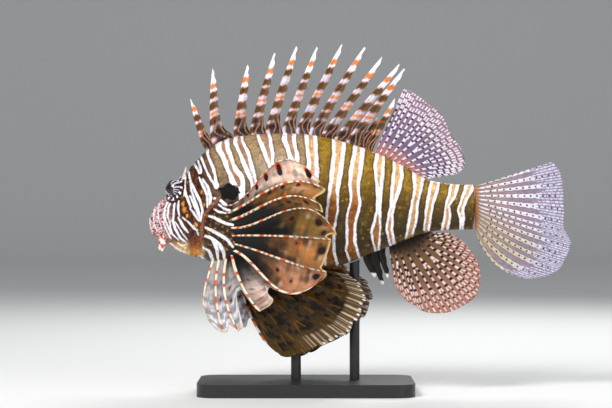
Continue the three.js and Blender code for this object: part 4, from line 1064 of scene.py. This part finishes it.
def paint_pectoral(u, v, spacing, reach):
    """Pale upper web with ringed blotches, amber and black middle, pale lower lobes with slate bands, painted
    shade beside the rays and a painted sheen.
    """
    rays = len(PECTORAL_RAYS)
    gap = spacing / (rays - 1)
    t = u * (rays - 1)
    number = np.round(t)
    across = np.abs(t - number) * gap
    web = np.clip(np.floor(t), 0, rays - 2).astype(int)
    share = t - web
    inner, outer = (np.array([row[k] for row in PECTORAL_WEBS])[web] for k in (0, 1))
    black = np.array([row[2] for row in PECTORAL_WEBS])[web]
    cloud = ripple(u * 90, v * 70, 16, 3.0)
    ground = blend_colour(inner, outer, smooth(0.3, 0.95, v + 0.22 * cloud))
    warm = smooth(0.2, 0.8, ripple(u * 80, v * 90, 19, 5.0)) * smooth(0.45, 0.7, v) * (web < 7)
    ground = blend_colour(ground, colour(190, 92, 34), 0.45 * warm)
    murk = smooth(0.0, 0.75, ripple(u * 110, v * 60, 15, 1.0)) * (1 - 0.6 * (web > 6))
    # Painted shade: each web is darker beside its rays and lighter in its middle, where the pleated web folds
    # in to the rays
    ground = ground * ((1 - 0.66 * murk) * (0.75 + 0.55 * np.sin(math.pi * share) ** 1.5))[..., None]
    grooves = np.sin(share * 30 + 3 * np.sin(v * 9 + web))
    ground = ground * (1 + 0.06 * grooves)[..., None]
    # Painted sheen: soft pale patches on the outer part of the fourth and lower webs
    painted_sheen = smooth(0.35, 0.95, ripple(u * 150, v * 70, 17, 8.0)) * smooth(0.35, 0.6, v) * (web > 2)
    ground = blend_colour(ground, colour(206, 178, 158), 0.45 * painted_sheen)
    depth = (
        v - black * (0.8 + 0.4 * share)
        + 0.07 * ripple(u * 60, v * 60, 20) + 0.06 * ripple(u * 260, v * 18, 13, 2.0)
    )
    ground = blend_colour(ground, colour(9, 7, 6), smooth(0.24, -0.12, depth) * (black > 0))
    low = smooth(6.7, 7.2, t)
    for at, half in ((0.34, 0.03), (0.56, 0.035), (0.74, 0.045), (0.89, 0.03)):
        slate = smooth(half + 0.03, half - 0.02, np.abs(v - at - 0.02 * np.sin(number * 3)))
        ground = blend_colour(ground, colour(84, 90, 104), 0.62 * low * slate)
    far = np.full(u.shape, 9.0)
    dark = far.copy()
    along = v * reach[:, -1:]
    for k, out, between, radius_across, radius_along in PECTORAL_BLOTCHES:
        from_side = (t - k - between) * gap / radius_across
        spot = (np.hypot(from_side, (along - out * reach[:, -1:]) / radius_along) - 1) * radius_along
        spot = spot + 0.35 * ripple(u * 200, v * 90, 9, k)
        dark = np.minimum(dark, spot + (0.0 if k < 2 or k > 4 else 0.5))
        rim = smooth(1.5, 0.2, spot) * (
            0.95 * smooth(0.25, -0.35, from_side * radius_across / 3) if k < 2 else 0.12
        )
        ground = blend_colour(ground, colour(214, 78, 18), rim)
        ground = blend_colour(ground, colour(30, 20, 12), 0.5 * smooth(1.6, 0.0, spot) * (k > 1))
    thick = np.interp(number, range(rays), RAY_HALF_WIDTHS) * (1 - 0.25 * v)
    line = smooth(thick + 0.2, thick - 0.15, across)
    beat = np.sin(along * 0.6 + number * 1.7 + 0.9 * np.sin(along * 0.27 + number))
    banded = blend_colour(colour(240, 220, 190), colour(204, 84, 26), smooth(0.5, 0.75, beat))
    banded = blend_colour(banded, colour(92, 62, 30), 0.8 * smooth(-0.75, -0.9, beat) * (number < 6))
    red = (number == 9) * smooth(0.2, 0.3, v) * smooth(0.66, 0.56, v)
    banded = blend_colour(banded, colour(214, 84, 30), red * smooth(-0.3, 0.2, beat))
    # Painted shadow: a dark band along both sides of each ray on the upper seven webs
    ground = blend_colour(ground, colour(16, 10, 8), 0.55 * smooth(thick + 1.0, thick, across) * (web < 7))
    ground = blend_colour(ground, banded, 0.97 * line)
    dark = np.where(line > 0.5, np.maximum(dark, 1.0), dark) + 0.3
    margin = smooth(0.97, 0.99, v)
    ground = blend_colour(ground, colour(222, 190, 130), 0.75 * margin)
    return ground, far, dark


def paint_pelvic(u, v, spacing, reach):
    """Dark olive web with black blotches and yellow streaks, and a pale pleated fringe at the margin."""
    rays = len(PELVIC_RAYS)
    offset, number = ray_offset(u, v, rays, 0.6, 2.0)
    across = offset * spacing / (rays - 1)
    ground = blend_colour(
        colour(74, 50, 10), colour(18, 12, 4), smooth(0.0, 0.6, ripple(u * 50, v * 60, 14, 1.0))
    )
    streak = smooth(0.9, 0.3, across)
    ground = blend_colour(
        ground, colour(126, 92, 34),
        0.6 * streak * smooth(0.1, 0.4, v) * smooth(-0.3, 0.3, np.sin(reach * 0.4 + number))
    )
    fringe = smooth(0.84, 0.87, v) * smooth(0.28, 0.4, u)
    pleat = np.sin(u * 300 + 3.5 * np.sin(u * 23) + 4 * v) + 0.7 * np.sin(u * 131)
    ground = blend_colour(
        ground, blend_colour(colour(96, 70, 44), colour(212, 192, 160), smooth(0.1, 1.1, pleat)),
        0.9 * fringe
    )
    front = smooth(0.06, 0.02, u)
    ground = blend_colour(ground, colour(232, 214, 206), front * smooth(-0.2, 0.4, np.sin(reach * 0.55)))
    ground = blend_colour(ground, colour(214, 104, 44), front * smooth(0.2, 0.6, np.sin(reach * 0.55 + 2.4)))
    row = (reach + 2.5 * np.sin(number * 2.7)) / 9.5
    along = np.abs(row - np.round(row)) * 9.5
    t = u * (rays - 1)
    dark = np.hypot((np.abs(t - np.floor(t) - 0.5)) * spacing / (rays - 1) * 0.8, along) - 2.2
    dark = dark + 5 * smooth(0.78, 0.85, v)
    edge = np.hypot((v - 0.985) * 45, 1.6 * np.sin(u * 95)) + 3 * smooth(0.4, 0.28, u)
    return ground, edge - 0.7, dark


for sign, side in ((-1, "left"), (1, "right")):
    def shoulder(u, sign=sign):
        """Root line of the pectoral fin down the shoulder, sunk in the skin."""
        station, rise = np.moveaxis(curve(PECTORAL_ROOT)(u), -1, 0)
        root = plain_skin(station, rise if sign < 0 else math.pi - rise, 0)
        return bend(root[..., 0], root[..., 1] - sign * 1.2, root[..., 2])

    def hip(u, sign=sign):
        """Root line of the pelvic fin on the belly."""
        return bend(mix(-46.0, -34.0, u), sign * 8.0 + 0 * u, 89.0 + 0 * u)

    fin_piece(
        f"pectoral_{side}", paired_fan(shoulder, PECTORAL_RAYS, PECTORAL_LOBES, sign, 2.2), 401, 110,
        ray_relief(len(PECTORAL_RAYS), 2.4, 0.9, 0.14, 2.0, 2.0, 0.8), paint_pectoral,
        fin_material, [f"pectoral_fin_{side}"],
    )
    fin_piece(
        f"pelvic_{side}", paired_fan(hip, PELVIC_RAYS, PELVIC_LOBES, sign, 1.2), 257, 90,
        ray_relief(len(PELVIC_RAYS), 1.9, 0.7, 0.14, 0.6, 2.0, 0.7), paint_pelvic,
        fin_material, [f"pelvic_fin_{side}"],
    )

# Feelers
# A short horn of skin over each eye, and a ragged pale flap hanging from each side of the upper lip.
feeler_material = flesh_material("feeler", colour(240, 226, 224), colour(120, 40, 30), 0.6, 0.3, 0.3)


def feeler(name, root, tip, widths, flatness, bands, node):
    """Tapering flap from root to tip, with a wavy outline and cross bands."""
    steps, sides = 48, 28
    t, spin = np.meshgrid(np.linspace(0, 1, steps), np.arange(sides) * 2 * math.pi / sides, indexing="ij")
    radius = np.interp(t, np.linspace(0, 1, len(widths)), widths) * (1 + 0.14 * np.sin(t * 26))
    x = mix(root[0], tip[0], t) + radius * np.cos(spin)
    y = mix(root[1], tip[1], t) + radius * flatness * np.sin(spin)
    z = mix(root[2], tip[2], t) + 0.3 * np.cos(spin)
    points = bend(x, y, z).reshape(-1, 3)
    ends = bend(*np.array([root, tip]).T)
    faces = []
    for i in range(steps - 1):
        for k in range(sides):
            n = (k + 1) % sides
            faces.append((i * sides + k, i * sides + n, (i + 1) * sides + n, (i + 1) * sides + k))
    total = steps * sides
    for k in range(sides):
        n = (k + 1) % sides
        faces.append((total, n, k))
        faces.append((total + 1, (steps - 1) * sides + k, (steps - 1) * sides + n))
    if tip[2] < root[2]:
        faces = [face[::-1] for face in faces]
    mottle = np.sin(t * bands + 1.7 * np.sin(spin * 2)) + 0.5 * np.sin(spin * 3 + t * 7)
    ground = blend_colour(
        colour(238, 220, 214), colour(190, 62, 34), smooth(0.0, 0.6, mottle) * smooth(0, 6, bands - 4)
    )
    ground = np.vstack([ground.reshape(-1, 3), ground[0, 0], ground[-1, 0]])
    far = np.full(len(ground), 5.0)
    new_mesh(name, np.vstack([points, ends]), faces, {"ground": ground, "pale": far, "dark": far},
             feeler_material, [node])


for sign, side in ((-1, "left"), (1, "right")):
    feeler(
        f"brow_horn_{side}", (-82.3, sign * 10.5, 149), (-78.5, sign * 13.5, 158.5),
        (1.7, 1.2, 0.8, 0.3), 0.7, 5, f"brow_feeler_{side}",
    )
    feeler(
        f"lip_flap_{side}", (-98, sign * 9.5, 110), (-96.5, sign * 14, 98.3),
        (1.8, 2.2, 2.7, 2.3, 1.3), 0.4, 13, f"mouth_feeler_{side}",
    )

# Display stand
# A plain base with a small bevel and two rods, all in one satin black finish. They keep the solids' shapes,
# so thin gaps part the rods from the base and from the fish.
def stand_material(name, tone, roughness, metallic):
    """Satin finish with faint unevenness."""
    material = bpy.data.materials.new(name)
    material.use_nodes = True
    nodes, links = material.node_tree.nodes, material.node_tree.links
    shader = nodes["Principled BSDF"]
    shader.inputs["Base Color"].default_value = (*tone, 1)
    shader.inputs["Metallic"].default_value = metallic
    place, noise = nodes.new("ShaderNodeTexCoord"), nodes.new("ShaderNodeTexNoise")
    noise.inputs["Scale"].default_value = 180.0
    links.new(place.outputs["Object"], noise.inputs["Vector"])
    spread = nodes.new("ShaderNodeMapRange")
    spread.inputs["To Min"].default_value = roughness - 0.06
    spread.inputs["To Max"].default_value = roughness + 0.06
    links.new(noise.outputs["Fac"], spread.inputs["Value"])
    links.new(spread.outputs["Result"], shader.inputs["Roughness"])
    return material


lacquer = stand_material("stand_lacquer", colour(34, 34, 36), 0.38, 0.0)
for node in ("stand_base", "stand_rod_front", "stand_rod_rear"):
    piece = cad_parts[node]
    piece.data.materials.clear()
    piece.data.materials.append(lacquer)
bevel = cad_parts["stand_base"].modifiers.new("bevel", "BEVEL")
bevel.width = 0.0012
bevel.segments = 3

# Floor, light and camera
# A pale seamless floor, one large soft light from the upper left in front, a fill and a back light, and a
# level camera square to the fish's left side.
floor_mesh = bpy.data.meshes.new("floor")
FLOOR_HALF, SWEEP_START, SWEEP_RADIUS, WALL_TOP = 6.0, 3.6, 0.8, 4.0
turn = np.linspace(0, math.pi / 2, 25)
profile = [(-4.0, 0.0), *zip(SWEEP_START + SWEEP_RADIUS * np.sin(turn), SWEEP_RADIUS * (1 - np.cos(turn)))]
profile.append((SWEEP_START + SWEEP_RADIUS, WALL_TOP))
floor_points = [(side * FLOOR_HALF, y, z) for y, z in profile for side in (-1, 1)]
floor_faces = [(2 * k, 2 * k + 1, 2 * k + 3, 2 * k + 2) for k in range(len(profile) - 1)]
floor_mesh.from_pydata(floor_points, [], floor_faces)
floor_mesh.polygons.foreach_set("use_smooth", [True] * len(floor_faces))
floor = bpy.data.objects.new("floor", floor_mesh)
bpy.context.collection.objects.link(floor)
floor_paint = bpy.data.materials.new("floor_paint")
floor_paint.use_nodes = True
floor_paint.node_tree.nodes["Principled BSDF"].inputs["Base Color"].default_value = (0.8, 0.8, 0.79, 1)
floor_paint.node_tree.nodes["Principled BSDF"].inputs["Roughness"].default_value = 0.7
floor_mesh.materials.append(floor_paint)


def area_light(name, place, aim, size, power):
    """Soft square light at a place, turned to face a point."""
    data = bpy.data.lights.new(name, "AREA")
    data.size = size
    data.energy = power
    lamp = bpy.data.objects.new(name, data)
    bpy.context.collection.objects.link(lamp)
    lamp.location = place
    lamp.rotation_euler = (Vector(aim) - Vector(place)).to_track_quat("-Z", "Y").to_euler()


area_light("key", (-0.6, -1.0, 1.1), (0, 0, 0.14), 0.5, 22)
area_light("fill", (0.9, -1.1, 0.5), (0, 0, 0.13), 0.9, 4)
area_light("back", (0.3, 0.9, 0.9), (0, 0, 0.15), 0.6, 8)
world = bpy.data.worlds.new("studio")
world.use_nodes = True
world.node_tree.nodes["Background"].inputs["Color"].default_value = (0.85, 0.88, 0.92, 1)
world.node_tree.nodes["Background"].inputs["Strength"].default_value = 0.34
bpy.context.scene.world = world
bpy.context.scene.view_settings.view_transform = "Standard"

SENSOR_WIDTH = 36.0
PICTURE_WIDTH = 428.4
camera_data = bpy.data.cameras.new("camera")
camera = bpy.data.objects.new("camera", camera_data)
bpy.context.collection.objects.link(camera)
camera_data.sensor_width = SENSOR_WIDTH
camera_data.lens = SENSOR_WIDTH * LENS_DISTANCE / PICTURE_WIDTH
camera.location = (0, -LENS_DISTANCE * MM, LENS_HEIGHT * MM)
camera.rotation_euler = (math.radians(90), 0, 0)
bpy.context.scene.camera = camera
